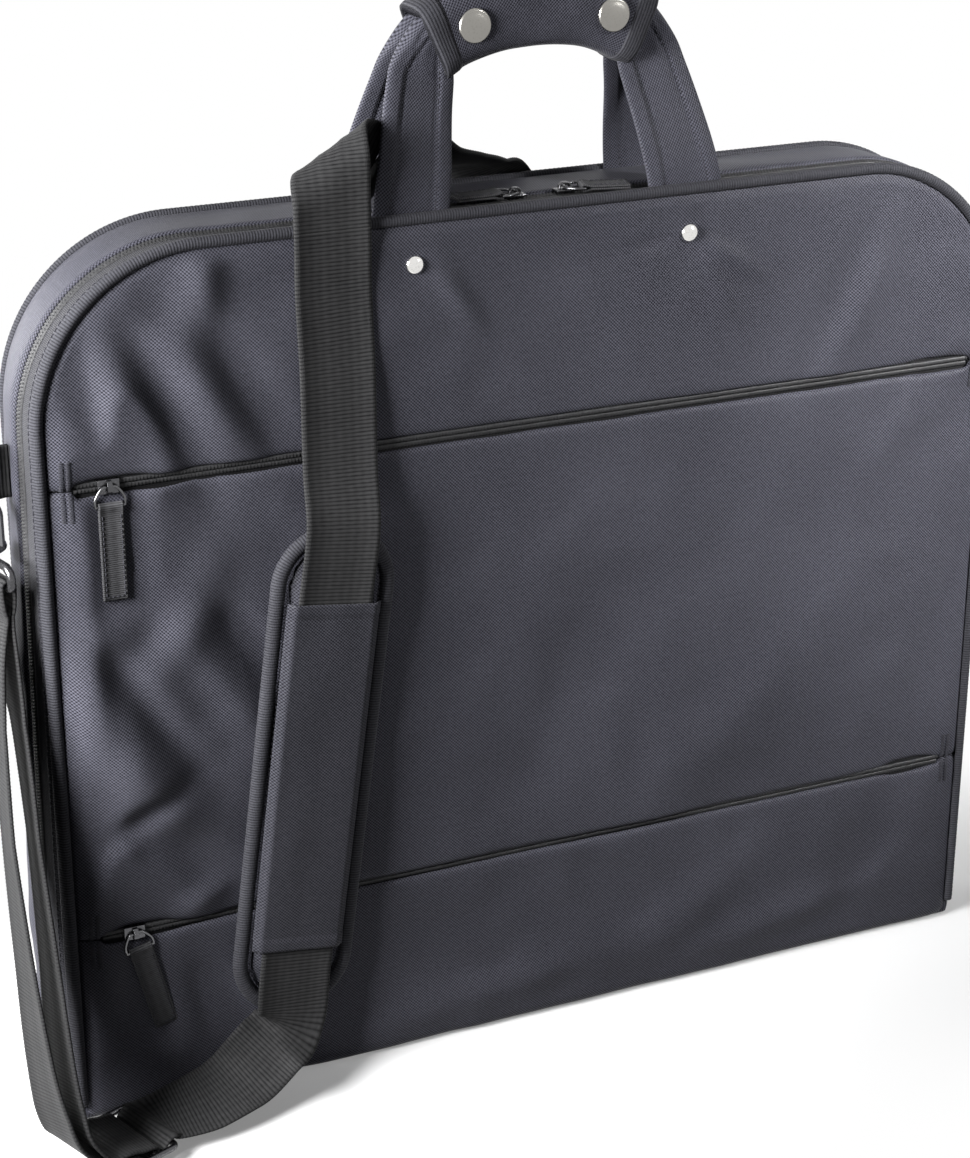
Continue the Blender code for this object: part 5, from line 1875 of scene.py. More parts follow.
# Pocket zips, sliders and pulls
@dataclass
class Zips:
    """Pocket zips with their sliders, and the sliders of the main zip."""

    half_length: float = 0.2557
    tape_y: float = -0.0297
    tape_width: float = 0.026
    coil_half: float = 0.0024
    coil_height: float = 0.0014
    tooth: float = 0.0018
    slider_x: float = -0.239
    runner_bevel: float = 0.0004
    pull_axis: float = 0.00425
    pull_width: float = 0.0125
    pull_tape: float = 0.00105
    bail_wire: float = 0.00075
    bail_top: float = 0.0072
    bail_length: float = 0.0095
    pocket_pull: float = 0.049
    main_pull: float = 0.024
    main_x: float = 0.014
    packed_y: float = -0.008
    lower_tilt: float = radians(-14)
    right_yaw: float = radians(15)

    def pocket(self, level: str, height: float) -> None:
        """A pocket zip's tape and its two rows of teeth.

        Args:
            level: Upper or lower.
            height: Its height.
        """
        rows = 2 * round(2 * self.half_length / self.tooth)
        half = self.half_length

        def tape(u: float, v: float) -> Vector:
            """A point of the tape."""
            return Vector((half * (2 * u - 1), self.tape_y + 0.0001, height + self.tape_width * (v - 0.5)))

        obj = sheet(level + "_pocket_tape", 60, 4, tape, (2 * half, self.tape_width), 0.0006)
        # The pocket tape wears the darkened copy of the zip tape, with the slot's shade painted into its
        # colour.
        keep(obj, SHADED_POCKET_TAPE, FRONT, level + "_zip")
        profile = ((0.0, 0.1), (0.06, 0.8), (0.3, 1.0), (0.75, 0.95), (1.0, 0.4), (1.0, 0.0))
        halves = []
        for sign in (-1, 1):

            def point(share: float, rise: float, v: float, sign: int = sign) -> Vector:
                """A point of one row."""
                z = height + sign * (GAP / 2 + share * self.coil_half)
                return Vector((half * (2 * v - 1), self.tape_y - rise * self.coil_height, z))

            size = (self.coil_half, 2 * half)
            row = teeth_row(level + "_pocket_teeth", profile, rows, int(sign > 0), size, point)
            halves.append(tidy_normals(row, -1.0))
        keep(join(level + "_pocket_teeth", halves), COIL, FRONT, level + "_zip")

    def pull(self, name: str, matrix: Matrix, length: float, body: str, metal: Metal) -> None:
        """A wire bail and the tape tab folded round it.

        Args:
            name: The piece's name.
            matrix: Its frame: X along the hinge, -Z down the tab.
            length: The tab's length.
            body: The body it rides on.
            metal: The bail's finish.
        """
        top = self.bail_top / 2
        bottom = self.pull_width / 2 + self.bail_wire + GAP
        knee = 2 * (self.bail_wire + GAP + self.pull_tape) - self.bail_length
        low = -self.bail_length
        right = [(top, 0), (bottom, knee), (bottom, low + 0.0003), (bottom - 0.0006, low)]
        corners = [(-top, 0), (0, 0), *right, (0, low), *mirror(right[1:])]
        route = [(matrix @ Vector((x, 0, z)), UP) for x, z in corners]
        ring = curve_through([route[-1], *route, route[0], route[1]], 4)[4:-4]
        bail = wire(name + "_wire", [point for point, _ in ring[:-1]], self.bail_wire, True)
        keep(bail, metal, body, name + "_bail")
        axis = matrix.to_3x3() @ RIGHT
        fold = hairpin(self.bail_wire + GAP, self.pull_tape, length)
        line = Line([(matrix @ Vector((0, y, z - self.bail_length)), axis) for y, z in fold])
        tab = web(name + "_tape", line, self.pull_width, self.pull_tape, 0.0022)
        keep(tab, TAB_TAPE, body, name + "_tab")
        self.sew(name, matrix, length, body)

    def sew(self, name: str, matrix: Matrix, length: float, body: str) -> None:
        """Stitch lines along the tab's edges and across its end.

        Args:
            name: The pull's name.
            matrix: The pull's frame.
            length: The tab's length.
            body: The body it rides on.
        """
        turn = matrix.to_3x3()
        half = self.pull_width / 2 - 0.0016
        drop = 2 * (self.bail_wire + GAP + self.pull_tape)
        runs = []
        for face in (-1, 1):
            out = turn @ Vector((0, face, 0))
            level = face * (self.pull_tape + GAP)

            def spot(x: float, z: float, out: Vector = out, level: float = level) -> Station:
                """A thread end on the tab."""
                return matrix @ Vector((x, level, z - self.bail_length)), out

            for x in (-half, half):
                runs.append(row_of(lambda d, x=x: spot(x, -drop - d), length - drop - 0.002, 0.0026))
            runs.append(row_of(lambda d: spot(d - half, -length + 0.002), 2 * half, 0.0026))
        keep(stitches(name + "_thread", runs, 0.00026), THREAD, body)

    def build(self) -> None:
        """Make the zips, sliders and pulls."""
        for level, height, tilt in (("upper", UPPER_ZIP, 0.0), ("lower", LOWER_ZIP, self.lower_tilt)):
            self.pocket(level, height)
            node = level + "_slider"
            keep(copied(level + "_runner", node, self.runner_bevel), GUNMETAL, node, node)
            axis = Vector((self.slider_x, self.tape_y - self.pull_axis, height))
            matrix = Matrix.Translation(axis) @ Matrix.Rotation(tilt, 4, "Y")
            self.pull(level + "_pull", matrix, self.pocket_pull, level + "_pull", DARK_STEEL)
        lift = FORM.swell_top * (1 - (FORM.main_zip_y / FORM.half_depth) ** 2) + 0.0004
        yawed = Vector((cos(self.right_yaw), -sin(self.right_yaw), 0))
        for (side, sign), way in zip(SIDES, (-RIGHT, yawed)):
            node = "main_slider_" + side
            runner = copied("main_runner_" + side, node, self.runner_bevel)
            runner.data.transform(Matrix.Translation(BACK * (FORM.main_zip_y - self.packed_y)))
            keep(runner, GUNMETAL, node, node)
            axis = Vector((sign * self.main_x, FORM.main_zip_y, FORM.top + lift + self.pull_axis))
            hinge = way.cross(UP)
            matrix = columns_matrix(axis, hinge, hinge.cross(way), -way)
            self.pull("main_pull_" + side, matrix, self.main_pull, "main_pull_" + side, GUNMETAL)


# Carrying handles and grip
@dataclass
class Handles:
    """Two folded cloth handles and the padded grip that holds them together."""

    offset: float = 0.077
    width: float = 0.042
    tape: float = 0.003
    tuck: float = 0.029
    rise: float = 0.567
    core_depth: float = 0.012
    leg_y: float = 0.0259
    grip_half: float = 0.0199
    cavity_half: float = 0.0159
    cavity_depth: float = 0.0126
    wall: float = 0.004
    grip_x: float = 0.0575
    binding: float = 0.0095
    snap_x: float = 0.038
    snap_radius: float = 0.0085
    rivet_radius: float = 0.0048
    snap_steps: tuple = (
        (0.9, -0.001), (1.0, 0.0), (1.01, 0.0008), (0.97, 0.0014), (0.9, 0.0017),
        (0.84, 0.00165), (0.7, 0.0021), (0.45, 0.0024), (0.2, 0.00255), (0.04, 0.0026),
    )
    rivet_steps: tuple = (
        (0.9, -0.0006), (1.0, 0.0), (1.02, 0.0005), (0.98, 0.001), (0.86, 0.0017),
        (0.66, 0.0023), (0.4, 0.0027), (0.16, 0.00288), (0.03, 0.0029),
    )
    droop: float = 0.0145
    bow: float = 2.2
    seam_inset: float = 0.0086
    neck: float = 0.026
    shoulder: float = 0.0345

    def __post_init__(self) -> None:
        """Lay out the middle line of one half, from the grip's middle to the tucked-in foot."""
        arch = [(x, self.arch(x)) for x in (0.0, 0.015, 0.03, 0.045, self.grip_x)]
        leg = [(0.0655, 0.527), (0.0715, 0.5), (self.offset - 0.0006, 0.474), (self.offset, 0.462)]
        leg.append((self.offset, FORM.top - self.tuck))
        route = [(Vector((x, 0, z)), BACK) for x, z in arch + leg]
        self.half = Line(curve_through(route, 6))
        self.half_run = self.half.length
        marks = (i * 0.0005 for i in range(400))
        self.grip_reach = next(mark for mark in marks if self.half.frame(mark)[0].x >= self.grip_x)

    def arch(self, x: float) -> float:
        """Height of the grip's middle line."""
        return self.rise - self.droop * (abs(x) / self.grip_x) ** self.bow

    def spine(self, run: float) -> Triple:
        """X, Z and direction of the handle's middle line, by distance from the middle of the grip.

        Args:
            run: The distance.

        Returns:
            The three values.
        """
        sign = -1.0 if run < 0 else 1.0
        point, way, _, _ = self.half.frame(abs(run))
        return sign * point.x, point.z, sign * atan2(way.z, way.x)

    def crest(self, run: float) -> Triple:
        """X, Z and direction of the grip's own gentle arch.

        Args:
            run: Distance from the middle.

        Returns:
            The three values.
        """
        x = run * self.grip_x / self.grip_reach
        share = abs(x) / self.grip_x
        slope = -copysign(self.bow * self.droop / self.grip_x * share ** (self.bow - 1), run)
        return x, self.arch(x), 0.85 * atan(slope)

    def section(self, run: float, side: float) -> tuple[Vector, Vector, float, float]:
        """The middle, across axis, width and thickness of a handle at one place.

        Args:
            run: Distance from the grip's middle.
            side: -1 for the front handle, 1 for the rear.

        Returns:
            The four values.
        """
        x, z, turn = self.spine(run)
        beyond = abs(run) - self.grip_reach
        lean = smooth_step((beyond + 0.002) / (self.half_run - self.tuck - self.grip_reach))
        middle = (self.core_depth + GAP) / 2
        depth = side * (middle + (self.leg_y - middle) * lean)
        across = Vector((-sin(turn), 0, cos(turn)))
        spread = smooth_step((beyond + 0.004) / 0.022)
        down = min(max(beyond / (self.half_run - self.tuck - self.grip_reach), 0.0), 1.0)
        width = self.neck + (self.shoulder - self.neck) * spread + (self.width - self.shoulder) * down
        thick = self.core_depth + (self.tape - self.core_depth) * spread
        return Vector((x, depth, z)), across, width, thick

    def skin(self, run: float, side: float, a: float, face: float) -> Vector:
        """A point of a handle's face; a goes from -1 to 1 across it and face is its front or back.

        Args:
            run: Distance from the grip's middle.
            side: The handle.
            a: Share across.
            face: -1 or 1.

        Returns:
            The point.
        """
        middle, across, width, thick = self.section(run, side)
        roll = (thick - self.tape) / (self.core_depth - self.tape)
        edge = (1 - abs(a)) * width / 2
        belly = (1 - abs(a) ** (10 - 7 * roll)) ** (1 / (4 - 2 * roll)) if abs(a) < 1 else 0.0
        ridge = 0.0007 * smooth_step((0.009 - edge) / 0.001) * smooth_step(edge / 0.001)
        groove = 0.0007 * bell((edge - 0.0094) / 0.0008)
        soft = 0.0008 * ripple(run * 38, a * 1.6, 3.0 * side + face)
        pinch = 0.001 * roll * ripple(run * 90, a * 4.0, 8.0 * side)
        height = thick / 2 * belly + (ridge - groove + soft + pinch) * (1 - abs(a) ** 6)
        return middle + across * (a * width / 2) + BACK * (face * height)

    def strap(self, name: str, side: float) -> Piece:
        """One whole handle.

        Args:
            name: The piece's name.
            side: The handle.

        Returns:
            The new piece.
        """
        columns = 64

        def across(u: float) -> float:
            """The share across the handle, with close steps at both edges."""
            share = 1 - 4 * u if u < 0.5 else 4 * u - 3
            return share * (1.4 - 0.4 * share * share)

        def place(u: float, v: float) -> Vector:
            """A point of the handle's closed section."""
            return self.skin((2 * v - 1) * self.half_run, side, across(u), 1.0 if u < 0.5 else -1.0)

        def chart(u: float, v: float) -> Pair:
            """The point on the flat cloth."""
            return across(u) * self.width / 2, (2 * v - 1) * self.half_run

        return tube(name, columns, 170, place, (1.0, 1.0), True, chart)

    def seams(self, side: float) -> list[list[Station]]:
        """Stitch lines along both folded edges of both legs, on both faces.

        Args:
            side: The handle.

        Returns:
            The thread ends of each line.
        """
        runs = []
        low = self.half_run - self.tuck + 0.002
        high = self.grip_reach + 0.004
        for leg, face, edge in product((-1, 1), repeat=3):

            def spot(distance: float, leg: int = leg, face: int = face, edge: int = edge) -> Station:
                """A thread end on the leg."""
                run = leg * (high + distance)
                width = self.section(run, side)[2]
                a = edge * (1 - self.seam_inset * 2 / width)
                return self.skin(run, side, a, face) - BACK * (face * 0.0001), BACK * face

            runs.append(row_of(spot, low - high, 0.0034))
        return runs

    def shell(self, name: str, outline: Sequence[Pair], near: float, far: float) -> Piece:
        """A piece of the grip along the handles' top, from a closed outline of (depth, height) points.

        Args:
            name: The piece's name.
            outline: The outline.
            near: Where it starts.
            far: Where it ends.

        Returns:
            The new piece.
        """
        rows = max(6, round((far - near) / 0.0016))
        marks = [0.0]
        for (y, h), (next_y, next_h) in zip(outline, [*outline[1:], outline[0]]):
            marks.append(marks[-1] + hypot(next_y - y, next_h - h))

        def place(u: float, v: float) -> Vector:
            """A point of the outline at one place."""
            run = near + (far - near) * v
            x, z, turn = self.crest(run)
            across = Vector((-sin(turn), 0, cos(turn)))
            y, h = outline[round(u * len(outline)) % len(outline)]
            size = hypot(y, h)
            wave = 0.0006 * ripple(run * 50, y * 90, h * 90)
            end = 0.0007 * exp(-min(run - near, far - run) / 0.0012)
            share = 1 + (wave - end) / max(size, 0.004)
            return Vector((x, y * share, z)) + across * (h * share)

        def chart(u: float, v: float) -> Pair:
            """The point on the flat cloth."""
            return marks[round(u * len(outline))], v * (far - near)

        return tube(name, len(outline), rows, place, (1.0, 1.0), True, chart)

    def outline(self, angle: float, grow: float) -> Pair:
        """Depth and height of the whole grip's round section at an angle from the front.

        Args:
            angle: The angle.
            grow: Distance outwards.

        Returns:
            Depth and height.
        """
        power = 2 / 3.6
        y, h = cos(angle), sin(angle)
        deep = self.cavity_depth + self.wall + grow
        return (
            -copysign(abs(y) ** power, y) * deep,
            copysign(abs(h) ** power, h) * (self.grip_half + grow),
        )

    def split_angle(self, depth: float) -> float:
        """The angle at which the round section reaches a depth in front of the middle.

        Args:
            depth: The depth.

        Returns:
            The angle.
        """
        low, high = 0.0, pi / 2
        for _ in range(30):
            angle = (low + high) / 2
            if -self.outline(angle, 0.0)[0] > depth:
                low = angle
            else:
                high = angle
        return low

    def wrap_outline(self, grow: float) -> list[Pair]:
        """The wrap's C-shaped section, grown outwards.

        Args:
            grow: Distance outwards.

        Returns:
            The outline.
        """
        first = self.split_angle(self.cavity_depth)
        outer = [self.outline(first + (2 * pi - 2 * first) * i / 52, grow) for i in range(53)]
        front = outer[0][0]
        side = self.cavity_half - 0.0004
        inner = [(front, -side), (0.0, -side), (self.cavity_depth, -side)]
        return outer + inner + [(y, -h) for y, h in reversed(inner)]

    def flap_outline(self, grow: float) -> list[Pair]:
        """The flap's section: the round front of the grip, grown outwards.

        Args:
            grow: Distance outwards.

        Returns:
            The outline.
        """
        last = self.split_angle(self.cavity_depth + GAP)
        front = [self.outline(last * (1 - i / 16), grow) for i in range(33)]
        back = -self.cavity_depth - GAP
        return front + [(back, -self.grip_half * 0.4), (back, self.grip_half * 0.4)]

    def cap(
        self, name: str, steps: Sequence[Pair], radius: float, place: Vector, face: float, sides: int
    ) -> Piece:
        """A pressed metal cap.

        Args:
            name: The piece's name.
            steps: (share of the radius, height) pairs.
            radius: Its radius.
            place: Where it sits.
            face: -1 on the front, 1 on the back.
            sides: Faces round it.

        Returns:
            The new piece.
        """
        matrix = columns_matrix(place, RIGHT, UP * -face, BACK * face)
        return turned(name, [(radius * share, height) for share, height in steps], matrix, sides)

    def snap(self, side: str, sign: float) -> None:
        """A pressed snap cap with a rolled rim.

        Args:
            side: Left or right.
            sign: -1 or 1.
        """
        front = -self.cavity_depth - GAP - self.wall
        place = Vector((sign * self.snap_x, front - 0.0002, self.arch(self.snap_x)))
        obj = self.cap("snap_cap_" + side, self.snap_steps, self.snap_radius, place, -1.0, 40)
        keep(obj, SATIN_STEEL, "grip_flap", "snap_" + side)

    def rivet(self, name: str, x: float, side: float, body: str, node: str) -> None:
        """A domed rivet pressed into the panel.

        Args:
            name: The piece's name.
            x: Its X.
            side: -1 on the front, 1 on the back.
            body: The body it rides on.
            node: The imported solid.
        """
        place = Vector((x, side * 0.0314, FORM.top - 0.021))
        obj = self.cap(name, self.rivet_steps, self.rivet_radius, place, side, 36)
        keep(obj, STEEL, body, node)

    def build(self) -> None:
        """Make the handles, grip and metal and dress them."""
        for side, sign, body in (("front", -1.0, FRONT), ("rear", 1.0, REAR)):
            keep(self.strap(side + "_carry_strap", sign), CLOTH, body, side + "_handle")
            keep(stitches(side + "_carry_thread", self.seams(sign), 0.0003), THREAD, body)
            for place, x in SIDES:
                node = "%s_rivet_%s" % (side, place)
                self.rivet("%s_stud_%s" % (side, place), x * self.offset, sign, body, node)
        reach, band = self.grip_reach, self.binding
        wrap = self.shell("grip_padding", self.wrap_outline(0.0), -reach, reach)
        keep(wrap, CLOTH, REAR, "grip_wrap")
        flap = self.shell("grip_cover", self.flap_outline(0.0), -reach, reach)
        keep(flap, CLOTH, "grip_flap", "grip_flap")
        for place, sign in SIDES:
            ends = sorted((sign * (reach + 0.0006), sign * (reach - band)))
            wrap = self.shell("grip_binding_" + place, self.wrap_outline(0.0007), *ends)
            keep(wrap, BINDING, REAR, "grip_wrap")
            flap = self.shell("cover_binding_" + place, self.flap_outline(0.0006), *ends)
            keep(flap, BINDING, "grip_flap", "grip_flap")
            self.snap(place, sign)


# Shoulder pad
@dataclass
class ShoulderPad:
    """The padded rest on the strap: crowned body, bound rim and the sleeve that takes the webbing."""

    rim: float = 0.0035
    sleeve_length: float = 0.196
    sleeve_width: float = 0.051

    def outline(self, share: float, inset: float) -> tuple[float, float, float, float]:
        """A point of the pad's outline and its outward direction, by share of the way round.

        Args:
            share: The share.
            inset: Distance in from the edge.

        Returns:
            Point and direction.
        """
        radius = PAD.width / 2 - inset
        run = (PAD.length - PAD.width) / 2
        arc = pi * radius
        total = 2 * arc + 4 * run
        far = share % 1.0 * total
        if far < 2 * run:
            return radius, far - run, 1.0, 0.0
        if far < 2 * run + arc:
            angle = (far - 2 * run) / radius
            return radius * cos(angle), run + radius * sin(angle), cos(angle), sin(angle)
        if far < 4 * run + arc:
            return -radius, 3 * run + arc - far, -1.0, 0.0
        angle = pi + (far - 4 * run - arc) / radius
        return radius * cos(angle), -run + radius * sin(angle), cos(angle), sin(angle)

    def body(self) -> Piece:
        """The crowned padding, blown up a little as stuffed cloth.

        Returns:
            The new piece.
        """
        frame = PAD.frame()
        seat = 2 * self.rim - 0.0005
        steps = [(seat + 0.002, 0.0004), (seat, 0.0022), (seat + 0.0012, 0.004), (seat + 0.005, 0.0062)]
        steps += [(seat + 0.011, 0.0074), (seat + 0.018, 0.0078)]

        def place(u: float, v: float) -> Vector:
            """A point of the padding."""
            inset, height = steps[round(v * (len(steps) - 1))]
            x, y, _, _ = self.outline(u, inset)
            return frame @ Vector((x, y, height))

        obj = tube("pad_stuffing", 120, len(steps) - 1, place, (1.0, 1.0), True)
        puff(obj, 0.004, 0.0022)
        return obj

    def bound_rim(self) -> Piece:
        """The ribbed binding round the pad's edge.

        Returns:
            The new piece.
        """
        frame = PAD.frame()
        length = 2 * pi * PAD.width / 2 + 2 * (PAD.length - PAD.width)
        ribs = 2 * round(length / 0.0022)

        def place(u: float, v: float) -> Vector:
            """A point of the binding."""
            angle = 2 * pi * u
            girth = 1.0 if round(v * ribs) % 2 else 0.955
            x, y, out_x, out_y = self.outline(v, self.rim)
            wide = 0.0042 * girth * cos(angle)
            high = self.rim * girth * sin(angle)
            return frame @ Vector((x + out_x * wide, y + out_y * wide, self.rim + high))

        return tube("pad_binding", 14, ribs, place, (2 * pi * 0.0039, length), False)

    def sleeve_height(self, x: float, y: float) -> float:
        """Height of the sleeve's cloth above the pad's back.

        Args:
            x: X in the pad's frame.
            y: Y in the pad's frame.

        Returns:
            The height.
        """
        rise = smooth_step((self.sleeve_width / 2 - abs(x)) / 0.0042)
        end = abs(y) - (self.sleeve_length / 2 - 0.007)
        hem = 0.0005 * smooth_step(end / 0.0008)
        mark = 0.0004 * bell(end / 0.0007)
        soft = 0.0005 * ripple(x * 50, y * 22, 6.1) * rise
        return PAD.crown - 0.0006 + 0.0036 * rise + hem - mark + soft

    def sleeve(self) -> Piece:
        """The flat cloth sleeve over the webbing.

        Returns:
            The new piece.
        """
        frame = PAD.frame()

        def place(u: float, v: float) -> Vector:
            """A point of the sleeve."""
            x = self.sleeve_width * (u - 0.5)
            y = self.sleeve_length * (v - 0.5)
            return frame @ Vector((x, y, self.sleeve_height(x, y)))

        return sheet("pad_sleeve_cloth", 40, 130, place, (self.sleeve_width, self.sleeve_length), 0.0007)

    def seams(self) -> Piece:
        """Stitches along the binding and across the sleeve's hems.

        Returns:
            The new piece.
        """
        frame = PAD.frame()
        out = frame.to_3x3() @ UP
        inset = 2 * self.rim + 0.0012
        length = 2 * pi * (PAD.width / 2 - inset) + 2 * (PAD.length - PAD.width)

        def round_rim(distance: float) -> Station:
            """A thread end beside the binding."""
            x, y, _, _ = self.outline(distance / length, inset)
            return frame @ Vector((x, y, self.rim * 1.45)), out

        runs = [row_of(round_rim, length, 0.0034)]
        for sign in (-1, 1):
            y = sign * (self.sleeve_length / 2 - 0.007)

            def hem(distance: float, y: float = y) -> Station:
                """A thread end on a hem."""
                x = distance - self.sleeve_width / 2 + 0.005
                return frame @ Vector((x, y, self.sleeve_height(x, y) + 0.0001)), out

            runs.append(row_of(hem, self.sleeve_width - 0.01, 0.003))
        return stitches("pad_thread", runs, 0.00028)

    def build(self) -> None:
        """Make the pad and dress it."""
        body = keep(self.body(), PAD_CLOTH, FRONT, "shoulder_pad")
        keep(self.bound_rim(), BINDING, FRONT, "pad_rim")
        keep(self.sleeve(), PAD_CLOTH, FRONT, "pad_sleeve")
        keep(self.seams(), THREAD, FRONT)


def puff(obj: Piece, voxel: float, limit: float) -> None:
    """Swell a closed mesh as stuffed cloth; no point moves further than the limit.

    Args:
        obj: A closed mesh at its place.
        voxel: Size of the remeshed faces.
        limit: Furthest that a point may move.
    """
    modify(obj, "REMESH", mode="VOXEL", voxel_size=voxel, use_smooth_shade=True)
    start = [vertex.co.copy() for vertex in obj.data.vertices]
    cloth = obj.modifiers.new("Cloth", "CLOTH")
    cloth.settings.use_pressure = True
    cloth.settings.uniform_pressure_force = 4.0
    cloth.settings.effector_weights.gravity = 0.0
    scene = bpy.context.scene
    for step in range(1, 21):
        scene.frame_set(step)
    only(obj)
    bpy.ops.object.modifier_apply(modifier=cloth.name)
    scene.frame_set(1)
    for vertex, place in zip(obj.data.vertices, start):
        move = vertex.co - place
        if move.length > limit:
            vertex.co = place + move * (limit / move.length)
    modify(obj, "SMOOTH", factor=0.5, iterations=4)
    modify(obj, "SUBSURF", levels=1, render_levels=1)
    shade(obj)


# Rings, hooks and slide
@dataclass
class Hardware:
    """D-rings in their tabs, swivel hooks with gates and eyes, and the three-bar slide."""

    tab_tape: float = 0.0013
    tab_width: float = 0.0268

    def ring(self, end: StrapEnd) -> None:
        """A D-ring with straight sides and rounded corners.

        Args:
            end: The side.
        """
        half = end.ring_bar / 2
        flat = end.ring_depth - half
        corners = [(0.0, -half + 0.0025), (0.0, 0.0), (0.0, half - 0.0025)]
        corners += [(0.0007, half - 0.0007), (0.0025, half)]
        angles = [pi * (0.5 - i / 14) for i in range(15)]
        corners += [(flat + half * cos(a), half * sin(a)) for a in angles]
        corners += [(0.0025, -half), (0.0007, -half + 0.0007)]
        points = [end.bar + end.way * a + UP * b for a, b in corners]
        node = "d_ring_" + end.side
        keep(wire("steel_ring_" + end.side, points, end.ring_wire, True), RING_STEEL, node, node)

    def tab(self, end: StrapEnd) -> None:
        """The webbing tab sewn to the side wall round the ring's bar.

        Args:
            end: The side.
        """
        shoulder = FORM.top - FORM.corner
        low = end.ring_height - end.ring_bar / 2
        swell = FORM.swell_high + (FORM.swell_low - FORM.swell_high) * (1 - low / shoulder)
        wall = FORM.half_width + swell + 0.0022
        fold = hairpin(end.ring_wire + GAP, self.tab_tape, abs(end.bar.x) - wall - GAP)
        line = Line([(end.bar + Vector((end.sign * x, y, 0)), UP) for y, x in fold])
        loop = web("ring_loop_" + end.side, line, self.tab_width, self.tab_tape, 0.002)
        keep(loop, WEBBING, REAR, "ring_tab_" + end.side)

    def hook(self, end: StrapEnd) -> None:
        """The hook's bow and disc, its sprung gate and the eye below it.

        Args:
            end: The side.
        """
        matrix = end.hook_frame()
        bend, w = end.hook_bend, end.hook_wire
        crown = end.ring_wire + GAP + w - bend
        disc = -end.hook_reach - GAP
        angles = [pi * i / 16 for i in range(17)]
        route = [(-bend, disc - end.disc_thick / 2), (-bend, (disc + crown) / 2)]
        route += [(-bend * cos(a), crown + bend * sin(a)) for a in angles]
        route.append((bend, crown - w))
        bow = wire("bow", [matrix @ Vector((x, 0, z)) for x, z in route], w)
        pin_top = disc - end.disc_thick
        head = pin_top - 2 * GAP - end.collar_height
        profile = [(end.pin_head * 0.8, head - end.pin_cap), (end.pin_head, head - end.pin_cap * 0.7)]
        profile += [(end.pin_head, head), (end.pin, head), (end.pin, pin_top), (end.disc * 0.66, pin_top)]
        profile += [(end.disc * 0.82, pin_top + 0.0004), (end.disc * 0.97, pin_top + 0.0016)]
        profile += [(end.disc, pin_top + 0.0026), (end.disc * 0.97, disc - 0.0006), (end.disc * 0.9, disc)]
        base = turned("disc", profile, matrix, 36)
        obj = join("strap_hook_" + end.side, [base, bow])
        keep(obj, RING_STEEL, "hook_" + end.side, "hook_" + end.side)
        gate = matrix @ Matrix.Translation(Vector((bend, 0, 0)))
        profile = [(w * 0.45, -end.hook_reach + GAP), (w * 0.7, -end.hook_reach + w * 0.5)]
        profile += [(w * 0.85, -end.hook_reach + w), (w * 0.85, crown - 2 * w), (w * 0.76, crown - 1.7 * w)]
        profile += [(w * 0.76, crown - 1.3 * w), (w * 0.6, crown - w - GAP)]
        name = "hook_gate_" + end.side
        keep(turned("spring_gate_" + end.side, profile, gate, 20), GUNMETAL, name, name)
        self.eye(end)

    def eye(self, end: StrapEnd) -> None:
        """The wire loop that takes the webbing, with its collar.

        Args:
            end: The side.
        """
        matrix = end.eye_frame()
        half = end.web_width / 2 + end.eye_wire + 2 * GAP
        drop = end.eye_drop
        right = [(half - 0.002, 0), (half - 0.0005, 0.0005), (half, 0.002), (half, drop * 0.55)]
        right += [(half * 0.96, drop * 0.8), (half * 0.8, drop)]
        left = mirror(right)
        corners = [left[-1], (0, 0), *right, (0, drop), *left[:-1]]
        loop = wire("loop", [matrix @ Vector((x, 0, z)) for x, z in corners], end.eye_wire, True)
        low = drop - end.collar_height / 2 + GAP / 2
        high = drop + end.collar_height / 2 - GAP / 2
        r = end.collar
        profile = [(r * 0.85, low), (r, low + 0.0006), (r, high - 0.0006), (r * 0.85, high)]
        collar = turned("collar", profile, matrix, 32)
        name = "swivel_eye_" + end.side
        keep(join("strap_eye_" + end.side, [loop, collar]), GUNMETAL, REAR, name)

    def slide(self) -> None:
        """The wire frame with a middle bar that sets the strap's length."""
        strap = ShoulderStrap()
        matrix = strap.slide_frame()
        half = strap.width / 2 + strap.slide_wire + 2 * GAP
        pitch, r = strap.slide_pitch, 0.003
        corners = []
        for sx, sy in ((1, 1), (-1, 1), (-1, -1), (1, -1)):
            first = atan2(sy, sx) - pi / 4
            for i in range(5):
                angle = first + pi / 2 * i / 4
                corners.append((sx * (pitch - r) + r * cos(angle), sy * (half - r) + r * sin(angle)))
        frame = wire("slide_frame", [matrix @ Vector((x, y, 0)) for x, y in corners], strap.slide_wire, True)
        middle = [matrix @ Vector((0, half * i / 4, 0)) for i in range(-4, 5)]
        bar = wire("slide_bar", middle, strap.slide_wire)
        keep(join("strap_slide", [frame, bar]), GUNMETAL, REAR, "three_bar_slide")

    def build(self) -> None:
        """Make the metal on both sides and the slide."""
        for end in (LEFT_END, RIGHT_END):
            self.ring(end)
            self.tab(end)
            self.hook(end)
        self.slide()


